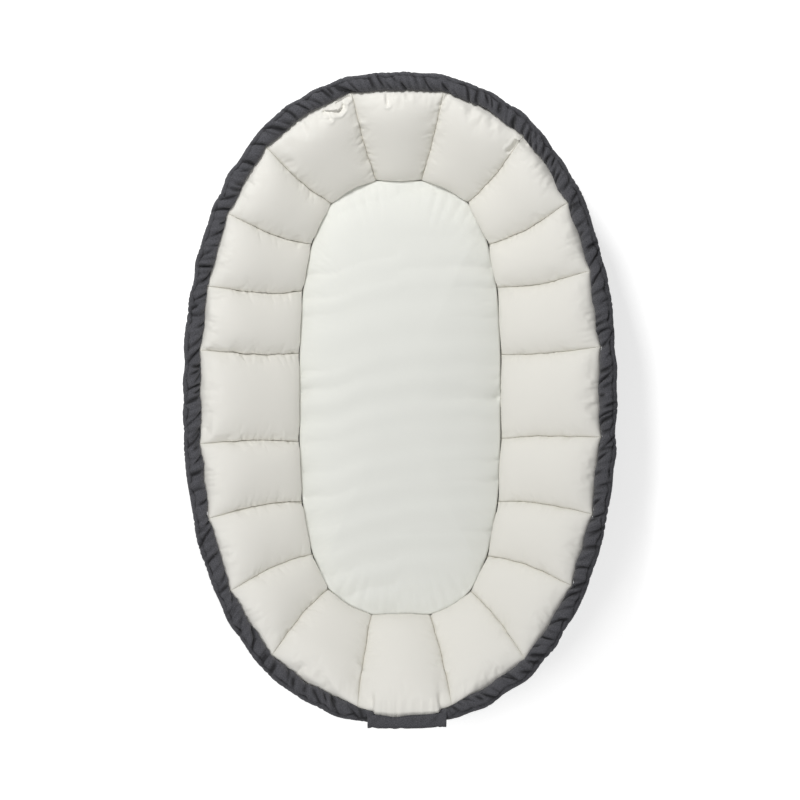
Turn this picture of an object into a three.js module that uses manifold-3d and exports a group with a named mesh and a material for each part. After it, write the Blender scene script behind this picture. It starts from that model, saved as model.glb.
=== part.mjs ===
// Infant lounger: an oval nest with a lift-out mattress, twenty padded wall chambers, a gathered rim and a
// drawstring that is held by a cord lock under a small flap at the foot end.
// Millimetres, +Z up. +Y points to the head end, +X to the right when seen from above with the head end up.
// The origin is on the floor under the middle of the rim's oval.
import * as THREE from "three";
import { mergeVertices } from "three/addons/utils/BufferGeometryUtils.js";
import Module from "manifold-3d";

// Driving sizes of the whole nest. The wall's reach is what it adds to the mattress on each side, up to the
// outside of the rim.
const mattressLength = 616;
const mattressWidth = 286;
const wallEndReach = 138.5;
const wallSideReach = 154;
const rimHeight = 120;
const rimDiameter = 24;
const rimOvalPower = 2.3;
const mattressOvalPower = 3.1;

// Cloth, wadding and clearances
const liningThickness = 1.2;
const outerClothThickness = 1.5;
const basePanelThickness = 2;
const waddingThickness = 5;
const floorLiningThickness = 1.2;
const clothGap = 0.6;
const seatGap = 0.3;
const wallRimGap = 0.7;
const cutOverrun = 2;

// Wall chambers
const padInnerBulge = 30;
const padOuterBulge = 12;
const seamHalfThickness = 1.4;
const mattressClearance = 2;
const baseMargin = 4;
const waddingInset = 6;
const acrossPillowPower = 0.5;
const upPillowPower = 0.8;
const columnShares = [0, 0.1, 0.36, 0.64, 0.9];
const rowShares = [0, 0.1, 0.36, 0.64, 0.9, 1];
const fillEdgeShare = 0.08;

// Where the seams between the chambers meet the rim and the floor, as shares of the half turn from the head
// end to the foot end: the right side first, then the left.
const rightSeamShares = [
  [0.046, 0.031], [0.142, 0.106], [0.229, 0.167], [0.316, 0.23], [0.422, 0.371],
  [0.559, 0.62], [0.669, 0.758], [0.76, 0.838], [0.856, 0.889], [0.946, 0.957],
];
const leftSeamShares = [
  [0.051, 0.035], [0.159, 0.108], [0.243, 0.167], [0.337, 0.237], [0.427, 0.369],
  [0.569, 0.628], [0.675, 0.758], [0.767, 0.836], [0.851, 0.886], [0.956, 0.959],
];

// Mattress: a crowned cushion that is flat where it rests
const mattressEdgeHeight = 16;
const mattressCrown = 26;
const mattressCoverThickness = 1.2;
const mattressUndersideTurn = 10;
const mattressSlitLength = 180;
const mattressSlitWidth = 3;
const mattressSlitFromMiddle = 140;
const mattressColumns = 48;
const mattressTopShares = [0.45, 0.78, 0.94];
const mattressCrownPower = 3;
const mattressShoulderPower = 0.55;

// Gathered rim and the drawstring in its bore
const gatherCount = 60;
const gatherDepth = 2.6;
const gatherVariationShare = 0.35;
const rimSides = 8;
const gathersPerBoreRing = 2;
const cordDiameter = 4;
const cordClearance = 0.5;
const cordSides = 8;
const cordBendRadius = 7;
const cordBendSteps = 4;
const cordPairGap = 0.4;

// Foot end: the gap in the rim, its binding and the flap over it
const flapWidth = 108;
const flapOffCentre = 9.5;
const flapThickness = 3;
const flapOverRim = 12;
const flapBelowRim = 52;
const flapGap = 3;
const flapHingeInset = 1;
const flapCornerRadius = 6;
const flapCornerSteps = 4;
const bindingThickness = 2;
const bindingEndGap = 2;
const bindingCordGap = 0.5;
const bindingSteps = 8;

// Cord lock
const lockRadius = 7.5;
const lockWall = 2;
const lockFloor = 2;
const lockBelowRim = 24;
const lockWallGap = 1;
const buttonRadius = 5;
const buttonHeadRadius = 5.5;
const buttonHeadLength = 2.7;
const buttonTravel = 2.5;
const buttonClearance = 0.3;
const lockSides = 24;
const springLength = 6.5;
const springRadius = 3.6;
const springWire = 0.8;
const springTurns = 3;
const springStepsPerTurn = 8;
const springSides = 5;

// Clip that joins the two ends of the drawstring
const clipLength = 10;
const clipRadius = 6;
const clipTaper = 1;
const clipPocketDepth = 6;
const clipBelowLock = 8;

// Sizes that follow from the ones above
const rimLength = mattressLength + 2 * wallEndReach;
const rimWidth = mattressWidth + 2 * wallSideReach;
const rimRadius = rimDiameter / 2;
const rimCentreHeight = rimHeight - rimRadius;
const rimHalf = new THREE.Vector2(rimWidth / 2 - rimRadius, rimLength / 2 - rimRadius);
const mattressHalf = new THREE.Vector2(mattressWidth / 2, mattressLength / 2);
const floorSeamHalf = new THREE.Vector2(mattressHalf.x + mattressClearance, mattressHalf.y + mattressClearance);
const wallFootOffset = seamHalfThickness + outerClothThickness;
const sideRise = Math.atan2(rimCentreHeight - basePanelThickness, rimHalf.x - floorSeamHalf.x);
const floorSeamHeight = basePanelThickness + seatGap + wallFootOffset * Math.cos(sideRise);
const waddingBottom = basePanelThickness + seatGap;
const floorLiningBottom = waddingBottom + waddingThickness + seatGap;
const mattressBottom = floorLiningBottom + floorLiningThickness + seatGap;
const mattressEdgeZ = mattressBottom + mattressEdgeHeight;
const wallEndRadius = rimRadius * Math.cos(Math.PI / rimSides) + wallRimGap;
const cordRadius = cordDiameter / 2;
const cordOffset = cordRadius + cordPairGap / 2;

const materials = {
  lining: new THREE.MeshStandardMaterial({ color: "#e9e9e4", roughness: 0.72, metalness: 0 }),
  charcoal: new THREE.MeshStandardMaterial({ color: "#47474c", roughness: 0.9, metalness: 0 }),
  fill: new THREE.MeshStandardMaterial({ color: "#efe6cf", roughness: 1, metalness: 0 }),
  cord: new THREE.MeshStandardMaterial({ color: "#3c3c41", roughness: 0.85, metalness: 0 }),
  plastic: new THREE.MeshStandardMaterial({ color: "#2c2c2f", roughness: 0.45, metalness: 0 }),
  steel: new THREE.MeshStandardMaterial({ color: "#b4b7bb", roughness: 0.35, metalness: 1 }),
};

const wasm = await Module();
wasm.setup();

const lounger = new THREE.Group();

function addMesh(name, geometry, material) {
  const mesh = new THREE.Mesh(geometry, material);
  mesh.name = name;
  lounger.add(mesh);
  return mesh;
}

// A closed surface from vertices and faces; a face has three or four vertex numbers, anticlockwise from outside.
function geometryFrom(vertices, faces) {
  const geometry = new THREE.BufferGeometry();
  geometry.setAttribute("position", new THREE.Float32BufferAttribute(vertices.flatMap((v) => v.toArray()), 3));
  geometry.setIndex(faces.flatMap(([a, b, c, d]) => (d === undefined ? [a, b, c] : [a, b, c, a, c, d])));
  return geometry;
}

// three.js geometry to a manifold solid, for cuts and joins, and back
function solidFrom(geometry) {
  const bare = geometry.index ? geometry.toNonIndexed() : geometry.clone();
  bare.deleteAttribute("normal");
  bare.deleteAttribute("uv");
  const merged = mergeVertices(bare);
  return new wasm.Manifold(new wasm.Mesh({
    numProp: 3,
    vertProperties: new Float32Array(merged.attributes.position.array),
    triVerts: new Uint32Array(merged.index.array),
  }));
}

function geometryOf(solid) {
  const mesh = solid.getMesh();
  const geometry = new THREE.BufferGeometry();
  geometry.setAttribute("position", new THREE.BufferAttribute(new Float32Array(mesh.vertProperties), 3));
  geometry.setIndex(new THREE.BufferAttribute(new Uint32Array(mesh.triVerts), 1));
  return geometry;
}

// A point of an oval at an angle measured clockwise from the head end. The oval is a superellipse.
function ovalPoint(half, power, angle) {
  const across = Math.sin(angle);
  const along = Math.cos(angle);
  const reach = (Math.abs(across / half.x) ** power + Math.abs(along / half.y) ** power) ** (-1 / power);
  return new THREE.Vector2(across * reach, along * reach);
}

// How far the oval reaches towards the foot end at a place x
function ovalFootY(half, power, x) {
  return -half.y * (1 - Math.abs(x / half.x) ** power) ** (1 / power);
}

function ovalPlate(half, bottom, thickness) {
  const points = [];
  for (let i = 0; i < mattressColumns; i++) {
    points.push(ovalPoint(half, mattressOvalPower, (-2 * Math.PI * i) / mattressColumns));
  }
  const geometry = new THREE.ExtrudeGeometry(new THREE.Shape(points), { depth: thickness, bevelEnabled: false });
  return geometry.translate(0, 0, bottom);
}

// A ring of seam places round the nest, clockwise from the head: [angle at the rim, angle at the floor]
const seamAngles = [
  ...rightSeamShares.map(([rim, floor]) => [rim * Math.PI, floor * Math.PI]),
  ...leftSeamShares.map(([rim, floor]) => [(2 - rim) * Math.PI, (2 - floor) * Math.PI]).reverse(),
];
const chamberCount = seamAngles.length;
const columnsPerChamber = columnShares.length;
const columnCount = chamberCount * columnsPerChamber;
const lastRow = rowShares.length - 1;

// The wall's middle line at one column: it starts at the floor seam, heads for the middle of the rim and stops
// short of the rim's cloth. The normal points up and into the nest.
function wallColumn(column) {
  const chamber = Math.floor(column / columnsPerChamber);
  const share = columnShares[column % columnsPerChamber];
  const from = seamAngles[chamber];
  const next = seamAngles[(chamber + 1) % chamberCount];
  const turn = chamber + 1 === chamberCount ? 2 * Math.PI : 0;
  const rimAngle = THREE.MathUtils.lerp(from[0], next[0] + turn, share);
  const floorAngle = THREE.MathUtils.lerp(from[1], next[1] + turn, share);
  const foot = ovalPoint(floorSeamHalf, mattressOvalPower, floorAngle);
  const head = ovalPoint(rimHalf, rimOvalPower, rimAngle);
  const start = new THREE.Vector3(foot.x, foot.y, floorSeamHeight);
  const end = new THREE.Vector3(head.x, head.y, rimCentreHeight);
  const up = end.clone().sub(start);
  const length = up.length() - wallEndRadius;
  up.normalize();
  const flat = Math.hypot(up.x, up.y);
  const normal = new THREE.Vector3((-up.x * up.z) / flat, (-up.y * up.z) / flat, flat);
  return { start, up, normal, length, share };
}

const wallColumns = Array.from({ length: columnCount }, (_, column) => wallColumn(column));

// The shape of a stuffed chamber between its seams: 0 at both ends and 1 in the middle
function pillow(share, power) {
  return (4 * share * (1 - share)) ** power;
}

// Distances from the wall's middle surface to each side of the chamber's filling space
function chamberSides(column, row) {
  const fullness = pillow(column.share, acrossPillowPower) * pillow(rowShares[row], upPillowPower);
  return {
    inner: seamHalfThickness + padInnerBulge * fullness,
    outer: -seamHalfThickness - padOuterBulge * fullness,
  };
}

// A grid point of the wall, moved along the normal to one side of a layer
function wallGridPoint(columnNumber, row, distanceOf) {
  const column = wallColumns[columnNumber % columnCount];
  const point = column.start.clone().addScaledVector(column.up, column.length * rowShares[row]);
  return point.addScaledVector(column.normal, distanceOf(chamberSides(column, row)));
}

// The same surface between grid points, so that a filling follows the cloth's facets exactly
function wallPoint(columnPlace, rowPlace, distanceOf) {
  const c = Math.floor(columnPlace);
  const r = Math.min(Math.floor(rowPlace), lastRow - 1);
  const [low, high] = [r, r + 1].map((row) =>
    wallGridPoint(c, row, distanceOf).lerp(wallGridPoint(c + 1, row, distanceOf), columnPlace - c));
  return low.lerp(high, rowPlace - r);
}

// Whether a cell is split by the diagonal from its first corner. The diagonals run from a chamber's corners to
// its middle, so that they are ridges on both sides and neighbouring layers fold alike.
function ridgeFromFirstCorner(column, row) {
  const middle = (columnsPerChamber - 1) / 2;
  return (column % columnsPerChamber > middle) === (row > middle);
}

// A closed sheet with two faces over a grid of columns and rows. pointOn(column, row, face) gives its vertices:
// face 1 lies on the side that the wall's normal points to. The sheet may close on itself round the nest.
function closedSheet(columns, rows, closed, pointOn) {
  const vertices = [];
  for (let c = 0; c < columns; c++) {
    for (let r = 0; r < rows; r++) {
      vertices.push(pointOn(c, r, 0), pointOn(c, r, 1));
    }
  }
  const id = (c, r, face) => ((c % columns) * rows + r) * 2 + face;
  const faces = [];
  const cells = closed ? columns : columns - 1;
  for (let c = 0; c < cells; c++) {
    for (let r = 0; r < rows - 1; r++) {
      const a = [c, r];
      const b = [c + 1, r];
      const d = [c + 1, r + 1];
      const e = [c, r + 1];
      const corners = ridgeFromFirstCorner(c, r) ? [a, b, d, e] : [b, d, e, a];
      faces.push(corners.map(([column, row]) => id(column, row, 1)));
      faces.push([0, 3, 2, 1].map((i) => id(...corners[i], 0)));
    }
    faces.push([id(c, 0, 0), id(c + 1, 0, 0), id(c + 1, 0, 1), id(c, 0, 1)]);
    faces.push([id(c, rows - 1, 1), id(c + 1, rows - 1, 1), id(c + 1, rows - 1, 0), id(c, rows - 1, 0)]);
  }
  if (!closed) {
    for (let r = 0; r < rows - 1; r++) {
      faces.push([id(0, r, 1), id(0, r + 1, 1), id(0, r + 1, 0), id(0, r, 0)]);
      faces.push([id(cells, r, 0), id(cells, r + 1, 0), id(cells, r + 1, 1), id(cells, r, 1)]);
    }
  }
  return geometryFrom(vertices, faces);
}

// A tube through rings of points, closed with flat ends. Rings run anticlockwise seen from where they head.
function loft(rings) {
  const sides = rings[0].length;
  const faces = [];
  for (let i = 0; i < rings.length - 1; i++) {
    for (let s = 0; s < sides; s++) {
      const t = (s + 1) % sides;
      faces.push([i * sides + s, i * sides + t, (i + 1) * sides + t, (i + 1) * sides + s]);
    }
  }
  const last = (rings.length - 1) * sides;
  for (let s = 1; s < sides - 1; s++) {
    faces.push([0, s + 1, s]);
    faces.push([last, last + s, last + s + 1]);
  }
  return geometryFrom(rings.flat(), faces);
}

// Floor layers, from the ground up
function addFloor() {
  const baseHalf = floorSeamHalf.clone().addScalar(baseMargin);
  const waddingHalf = floorSeamHalf.clone().subScalar(waddingInset);
  addMesh("base_panel", ovalPlate(baseHalf, 0, basePanelThickness), materials.charcoal);
  addMesh("floor_wadding", ovalPlate(waddingHalf, waddingBottom, waddingThickness), materials.fill);
  addMesh("floor_lining", ovalPlate(waddingHalf, floorLiningBottom, floorLiningThickness), materials.lining);
}

// Wall: the charcoal outer cloth, the stuffed chambers and the white lining over them
function addWall() {
  const outerFace = [({ outer }) => outer - outerClothThickness, ({ outer }) => outer];
  const liningFace = [({ inner }) => inner, ({ inner }) => inner + liningThickness];
  const fillFace = [({ outer }) => outer + clothGap, ({ inner }) => inner - clothGap];
  const sheet = (faces) =>
    closedSheet(columnCount, rowShares.length, true, (c, r, face) => wallGridPoint(c, r, faces[face]));
  addMesh("outer_wall", sheet(outerFace), materials.charcoal);
  addMesh("wall_lining", sheet(liningFace), materials.lining);

  const inset = (places) => {
    const last = places.length - 1;
    return places.map((place, i) => (i === 0 ? fillEdgeShare : i === last ? place - fillEdgeShare : place));
  };
  const columnPlaces = inset([...columnShares.keys(), columnsPerChamber]);
  const rowPlaces = inset([...rowShares.keys()]);
  for (let chamber = 0; chamber < chamberCount; chamber++) {
    const first = chamber * columnsPerChamber;
    const fill = closedSheet(columnPlaces.length, rowPlaces.length, false, (c, r, face) =>
      wallPoint(first + columnPlaces[c], rowPlaces[r], fillFace[face]));
    addMesh(`wall_fill_${String(chamber + 1).padStart(2, "0")}`, fill, materials.fill);
  }
}

// The mattress's outer shape, drawn in all over by an inset
function mattressShape(inset) {
  const half = mattressHalf.clone().subScalar(inset);
  const bottom = mattressBottom + inset;
  const crown = mattressCrown - inset;
  const undersideShare = 1 - mattressUndersideTurn / mattressHalf.x;
  const rings = [
    ...mattressTopShares.map((share) => ({
      share,
      z: mattressEdgeZ + crown * (1 - share ** mattressCrownPower) ** mattressShoulderPower,
    })),
    { share: 1, z: mattressEdgeZ },
    { share: undersideShare, z: bottom },
  ];
  const vertices = [new THREE.Vector3(0, 0, mattressEdgeZ + crown)];
  for (const { share, z } of rings) {
    for (let i = 0; i < mattressColumns; i++) {
      const at = ovalPoint(half, mattressOvalPower, (2 * Math.PI * i) / mattressColumns).multiplyScalar(share);
      vertices.push(new THREE.Vector3(at.x, at.y, z));
    }
  }
  vertices.push(new THREE.Vector3(0, 0, bottom));
  const id = (ring, i) => 1 + ring * mattressColumns + (i % mattressColumns);
  const faces = [];
  for (let i = 0; i < mattressColumns; i++) {
    faces.push([0, id(0, i + 1), id(0, i)]);
    for (let ring = 0; ring < rings.length - 1; ring++) {
      faces.push([id(ring, i), id(ring, i + 1), id(ring + 1, i + 1), id(ring + 1, i)]);
    }
    faces.push([vertices.length - 1, id(rings.length - 1, i), id(rings.length - 1, i + 1)]);
  }
  return geometryFrom(vertices, faces);
}

// Mattress: a washable cover with a slit in its underside, and the core that goes in through it
function addMattress() {
  const slitHeight = mattressCoverThickness + 2 * cutOverrun;
  const slit = new THREE.BoxGeometry(mattressSlitLength, mattressSlitWidth, slitHeight);
  slit.translate(0, -mattressSlitFromMiddle, mattressBottom + slitHeight / 2 - cutOverrun);
  const cover = solidFrom(mattressShape(0))
    .subtract(solidFrom(mattressShape(mattressCoverThickness)))
    .subtract(solidFrom(slit));
  addMesh("mattress_cover", geometryOf(cover), materials.lining);
  addMesh("mattress_core", mattressShape(mattressCoverThickness + clothGap), materials.fill);
}

// The rim's middle line from one side of the gap at the foot, round the head, to the other side
const gapHalf = flapWidth / 2 - flapOverRim;
class RimLine extends THREE.Curve {
  getPoint(t, target = new THREE.Vector3()) {
    const ends = [flapOffCentre + gapHalf, flapOffCentre - gapHalf].map((x) =>
      Math.atan2(x, ovalFootY(rimHalf, rimOvalPower, x)));
    const at = ovalPoint(rimHalf, rimOvalPower, THREE.MathUtils.lerp(ends[0], ends[1], t));
    return target.set(at.x, at.y, rimCentreHeight);
  }
}
const rimLine = new RimLine();
rimLine.arcLengthDivisions = 10 * gatherCount;

// A ring of points round a level line, square to its direction. Angles start on the outside and run down, and
// a facet's middle faces the wall.
function ringAt(centre, direction, sides, radiusAt) {
  const out = new THREE.Vector3().crossVectors(direction, new THREE.Vector3(0, 0, 1)).normalize();
  const down = new THREE.Vector3().crossVectors(direction, out);
  return Array.from({ length: sides }, (_, s) => {
    const angle = Math.PI - sideRise + (2 * Math.PI * (s + 0.5)) / sides;
    const radius = radiusAt(angle);
    return centre.clone()
      .addScaledVector(out, radius * Math.cos(angle))
      .addScaledVector(down, radius * Math.sin(angle));
  });
}

// Gathered rim: ribs of crumpled cloth on its free side, round where the wall joins it, with a round bore
function addRim() {
  const boreRadius = cordRadius + cordClearance;
  const at = (i) => i / (2 * gatherCount);
  const outerRings = [];
  const boreRings = [];
  for (let i = 0; i <= 2 * gatherCount; i++) {
    const centre = rimLine.getPointAt(at(i));
    const direction = rimLine.getTangentAt(at(i));
    const variation = 1 - gatherVariationShare * (0.5 + 0.5 * Math.sin(i * i));
    const depth = i % 2 ? gatherDepth * variation : 0;
    const end = i === 0 || i === 2 * gatherCount;
    outerRings.push(ringAt(centre, direction, rimSides, (angle) =>
      rimRadius - (end ? 0 : depth) * (0.5 + 0.5 * Math.cos(angle + sideRise))));
    if (i % (2 * gathersPerBoreRing) === 0) {
      boreRings.push(ringAt(centre, direction, rimSides, () => boreRadius));
    }
  }
  const outside = loft(outerRings);
  const outer = outerRings.flat();
  const faces = [];
  const skin = outside.index.array;
  const capTriangles = 2 * (rimSides - 2);
  for (let i = 0; i < skin.length - 3 * capTriangles; i += 3) {
    faces.push([skin[i], skin[i + 1], skin[i + 2]]);
  }
  const ring = (n, s) => outer.length + n * rimSides + (s % rimSides);
  const lastBore = boreRings.length - 1;
  const lastOuter = outer.length - rimSides;
  for (let s = 0; s < rimSides; s++) {
    for (let n = 0; n < lastBore; n++) {
      faces.push([ring(n, s + 1), ring(n, s), ring(n + 1, s), ring(n + 1, s + 1)]);
    }
    const t = (s + 1) % rimSides;
    faces.push([t, s, ring(0, s), ring(0, s + 1)]);
    faces.push([lastOuter + s, lastOuter + t, ring(lastBore, s + 1), ring(lastBore, s)]);
  }
  addMesh("rim_tunnel", geometryFrom([...outer, ...boreRings.flat()], faces), materials.charcoal);
}

// Heights at the foot end, from the rim down
const lockCentreHeight = rimCentreHeight - lockBelowRim;
const clipTop = lockCentreHeight - lockRadius - clipBelowLock;
// The tails hang under the rim's middle line, or further out where a steep wall would touch the cord lock
const wallOutsideAtLock = Math.min(...wallColumns.flatMap((_, column) =>
  rowShares.map((__, row) => wallGridPoint(column, row, ({ outer }) => outer - outerClothThickness))
    .map(({ y, z }) => (z < lockCentreHeight + lockRadius + lockWallGap ? y : 0))));
const rimLineY = ovalFootY(rimHalf, rimOvalPower, flapOffCentre);
const tailY = Math.min(rimLineY, wallOutsideAtLock - lockRadius - lockWallGap);

// Drawstring: both tails hang side by side from the gap, and the rest runs in the rim's bore
function addDrawstring() {
  const places = [];
  const place = (point, direction) => places.push({ point, direction });
  const down = new THREE.Vector3(0, 0, -1);
  const tail = (side) => flapOffCentre + side * cordOffset;
  const cordEnd = clipTop - clipPocketDepth + seatGap;
  const bend = (side, step) => {
    const angle = (step / cordBendSteps) * (Math.PI / 2);
    const x = tail(side) + side * cordBendRadius * (1 - Math.cos(angle));
    const z = rimCentreHeight - cordBendRadius * (1 - Math.sin(angle));
    const direction = new THREE.Vector3(side * Math.sin(angle), 0, Math.cos(angle));
    return { point: new THREE.Vector3(x, tailY, z), direction };
  };
  place(new THREE.Vector3(tail(1), tailY, cordEnd), down.clone().negate());
  for (let step = 0; step <= cordBendSteps; step++) {
    const { point, direction } = bend(1, step);
    place(point, direction);
  }
  const stations = gatherCount / gathersPerBoreRing;
  for (let i = 0; i <= stations; i++) {
    place(rimLine.getPointAt(i / stations), rimLine.getTangentAt(i / stations));
  }
  for (let step = cordBendSteps; step >= 0; step--) {
    const { point, direction } = bend(-1, step);
    place(point, direction.negate());
  }
  place(new THREE.Vector3(tail(-1), tailY, cordEnd), down);
  // The ring's sideways axis is carried along, so that the tube doesn't twist where it turns down
  let side = new THREE.Vector3(0, -1, 0);
  const rings = places.map(({ point, direction }) => {
    side = side.clone().addScaledVector(direction, -side.dot(direction)).normalize();
    const other = new THREE.Vector3().crossVectors(direction, side);
    return Array.from({ length: cordSides }, (_, s) => {
      const angle = (2 * Math.PI * s) / cordSides;
      return point.clone()
        .addScaledVector(side, cordRadius * Math.cos(angle))
        .addScaledVector(other, cordRadius * Math.sin(angle));
    });
  });
  addMesh("drawstring", loft(rings), materials.cord);
}

// Binding that closes the wall's edge in the gap, with the flap sewn to its top edge
const flapUnderside = rimHeight + 2 * seatGap;
const bindingTop = flapUnderside - seatGap;
function addFootEnd() {
  const wallRise = Math.atan2(rimCentreHeight - floorSeamHeight, rimHalf.y - floorSeamHalf.y);
  const edgeRadius = wallEndRadius - clothGap;
  const wallEndZ = rimCentreHeight - edgeRadius * Math.sin(wallRise);
  const lower = seamHalfThickness + outerClothThickness;
  const upper = seamHalfThickness + liningThickness;
  const along = new THREE.Vector2(Math.sin(wallRise), Math.cos(wallRise));
  const wallEndY = (x) => ovalFootY(rimHalf, rimOvalPower, x) + edgeRadius * Math.cos(wallRise);
  const cordEndY = ovalFootY(rimHalf, rimOvalPower, flapOffCentre + gapHalf) + cordRadius;
  const hingeY = Math.max(wallEndY(flapOffCentre) - flapHingeInset, cordEndY + bindingCordGap + bindingThickness);
  const bindingHalf = gapHalf - bindingEndGap;
  // Its lower edge follows the wall's and its top edge is straight like the flap's
  const sections = Array.from({ length: bindingSteps + 1 }, (_, i) => {
    const x = flapOffCentre + bindingHalf * ((2 * i) / bindingSteps - 1);
    return [
      new THREE.Vector3(x, wallEndY(x) - lower * along.x, wallEndZ - lower * along.y),
      new THREE.Vector3(x, wallEndY(x) + upper * along.x, wallEndZ + upper * along.y),
      new THREE.Vector3(x, hingeY, bindingTop),
      new THREE.Vector3(x, hingeY - bindingThickness, bindingTop),
    ];
  });
  addMesh("foot_binding", loft(sections), materials.lining);

  // The flap runs over the rim and hangs down outside it
  const inside = Math.min(-rimLength / 2, tailY - lockRadius) - flapGap;
  const outside = inside - flapThickness;
  const top = flapUnderside + flapThickness;
  const bottom = rimCentreHeight - flapBelowRim;
  const flap = new THREE.Shape();
  flap.moveTo(hingeY, flapUnderside);
  flap.lineTo(hingeY, top);
  flap.lineTo(outside + flapCornerRadius, top);
  flap.absarc(outside + flapCornerRadius, top - flapCornerRadius, flapCornerRadius, Math.PI / 2, Math.PI, false);
  flap.lineTo(outside, bottom);
  flap.lineTo(inside, bottom);
  const innerRadius = flapCornerRadius - flapThickness;
  flap.lineTo(inside, flapUnderside - innerRadius);
  flap.absarc(inside + innerRadius, flapUnderside - innerRadius, innerRadius, Math.PI, Math.PI / 2, true);
  addMesh("foot_flap", extrudeAcross(flap, flapWidth), materials.charcoal);
}

// A shape drawn in Y and Z, made solid along X and centred on the flap's middle
function extrudeAcross(shape, length) {
  const geometry = new THREE.ExtrudeGeometry(shape, {
    depth: length,
    bevelEnabled: false,
    curveSegments: flapCornerSteps,
  });
  // Shape x becomes Y, shape y becomes Z and the depth becomes X
  geometry.applyMatrix4(new THREE.Matrix4().makeBasis(
    new THREE.Vector3(0, 1, 0), new THREE.Vector3(0, 0, 1), new THREE.Vector3(1, 0, 0)));
  return geometry.translate(flapOffCentre - length / 2, 0, 0);
}

// A cylinder along X from one place to another, measured from the tails' middle
function barrel(radius, from, to) {
  const geometry = new THREE.CylinderGeometry(radius, radius, to - from, lockSides);
  geometry.rotateZ(Math.PI / 2);
  return solidFrom(geometry.translate(flapOffCentre + (from + to) / 2, tailY, lockCentreHeight));
}

// A slot for both tails, straight through along Z
function tailSlot(from, to, halfWidth) {
  const geometry = new THREE.BoxGeometry(to - from, 2 * halfWidth, 2 * (lockRadius + cutOverrun));
  return solidFrom(geometry.translate(flapOffCentre + (from + to) / 2, tailY, lockCentreHeight));
}

// Cord lock: a barrel, and a sprung button whose slot lines up with the barrel's when it is pressed
function addCordLock() {
  const slotHalf = cordOffset + cordRadius + buttonClearance;
  const slotWidthHalf = cordRadius + buttonClearance;
  const buttonInner = -slotHalf - lockWall;
  const buttonSlotEnd = slotHalf + buttonTravel;
  const springEnd = buttonInner - springLength;
  const barrelFrom = springEnd - lockFloor;
  const barrelTo = buttonSlotEnd + lockWall;
  const headFrom = barrelTo + buttonTravel + buttonClearance;
  const body = barrel(lockRadius, barrelFrom, barrelTo)
    .subtract(barrel(buttonRadius + buttonClearance, springEnd, barrelTo + cutOverrun))
    .subtract(tailSlot(-slotHalf, slotHalf, slotWidthHalf));
  addMesh("cord_lock_body", geometryOf(body), materials.plastic);

  const button = barrel(buttonRadius, buttonInner, headFrom)
    .add(barrel(buttonHeadRadius, headFrom, headFrom + buttonHeadLength))
    .subtract(tailSlot(-slotHalf, buttonSlotEnd, slotWidthHalf));
  addMesh("cord_lock_button", geometryOf(button), materials.plastic);

  // The spring's wire touches the barrel's floor and the button's end through the seat gap
  const reach = springLength - springWire - 2 * seatGap;
  const steps = springTurns * springStepsPerTurn;
  const rings = [];
  for (let i = 0; i <= steps; i++) {
    const angle = (2 * Math.PI * i) / springStepsPerTurn;
    const x = flapOffCentre + springEnd + seatGap + springWire / 2 + (reach * i) / steps;
    const spoke = new THREE.Vector3(0, Math.cos(angle), Math.sin(angle));
    const centre = new THREE.Vector3(x, tailY, lockCentreHeight).addScaledVector(spoke, springRadius);
    rings.push(Array.from({ length: springSides }, (_, s) => {
      const turn = (2 * Math.PI * s) / springSides;
      const point = centre.clone().addScaledVector(spoke, (springWire / 2) * Math.cos(turn));
      point.x -= (springWire / 2) * Math.sin(turn);
      return point;
    }));
  }
  addMesh("cord_lock_spring", loft(rings), materials.steel);
}

// End clip: a small moulded bell with a pocket for both ends of the drawstring
function addEndClip() {
  const shape = new THREE.CylinderGeometry(clipRadius - clipTaper, clipRadius, clipLength, lockSides);
  shape.rotateX(Math.PI / 2).translate(flapOffCentre, tailY, clipTop - clipLength / 2);
  const pocketHalf = cordOffset + cordRadius + seatGap;
  const pocketHeight = clipPocketDepth + cutOverrun;
  const pocket = new THREE.BoxGeometry(2 * pocketHalf, 2 * (cordRadius + seatGap), pocketHeight);
  pocket.translate(flapOffCentre, tailY, clipTop + cutOverrun - pocketHeight / 2);
  addMesh("cord_end_clip", geometryOf(solidFrom(shape).subtract(solidFrom(pocket))), materials.plastic);
}

addFloor();
addWall();
addMattress();
addRim();
addDrawstring();
addFootEnd();
addCordLock();
addEndClip();

export default lounger;
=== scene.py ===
"""Infant lounger: the cloth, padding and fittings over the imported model.

Metres, +Z up, +Y to the head end, +X to the right seen from above. The wall's shape repeats the model's own
formula, so every piece lies where its solid does.
"""

import math

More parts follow.
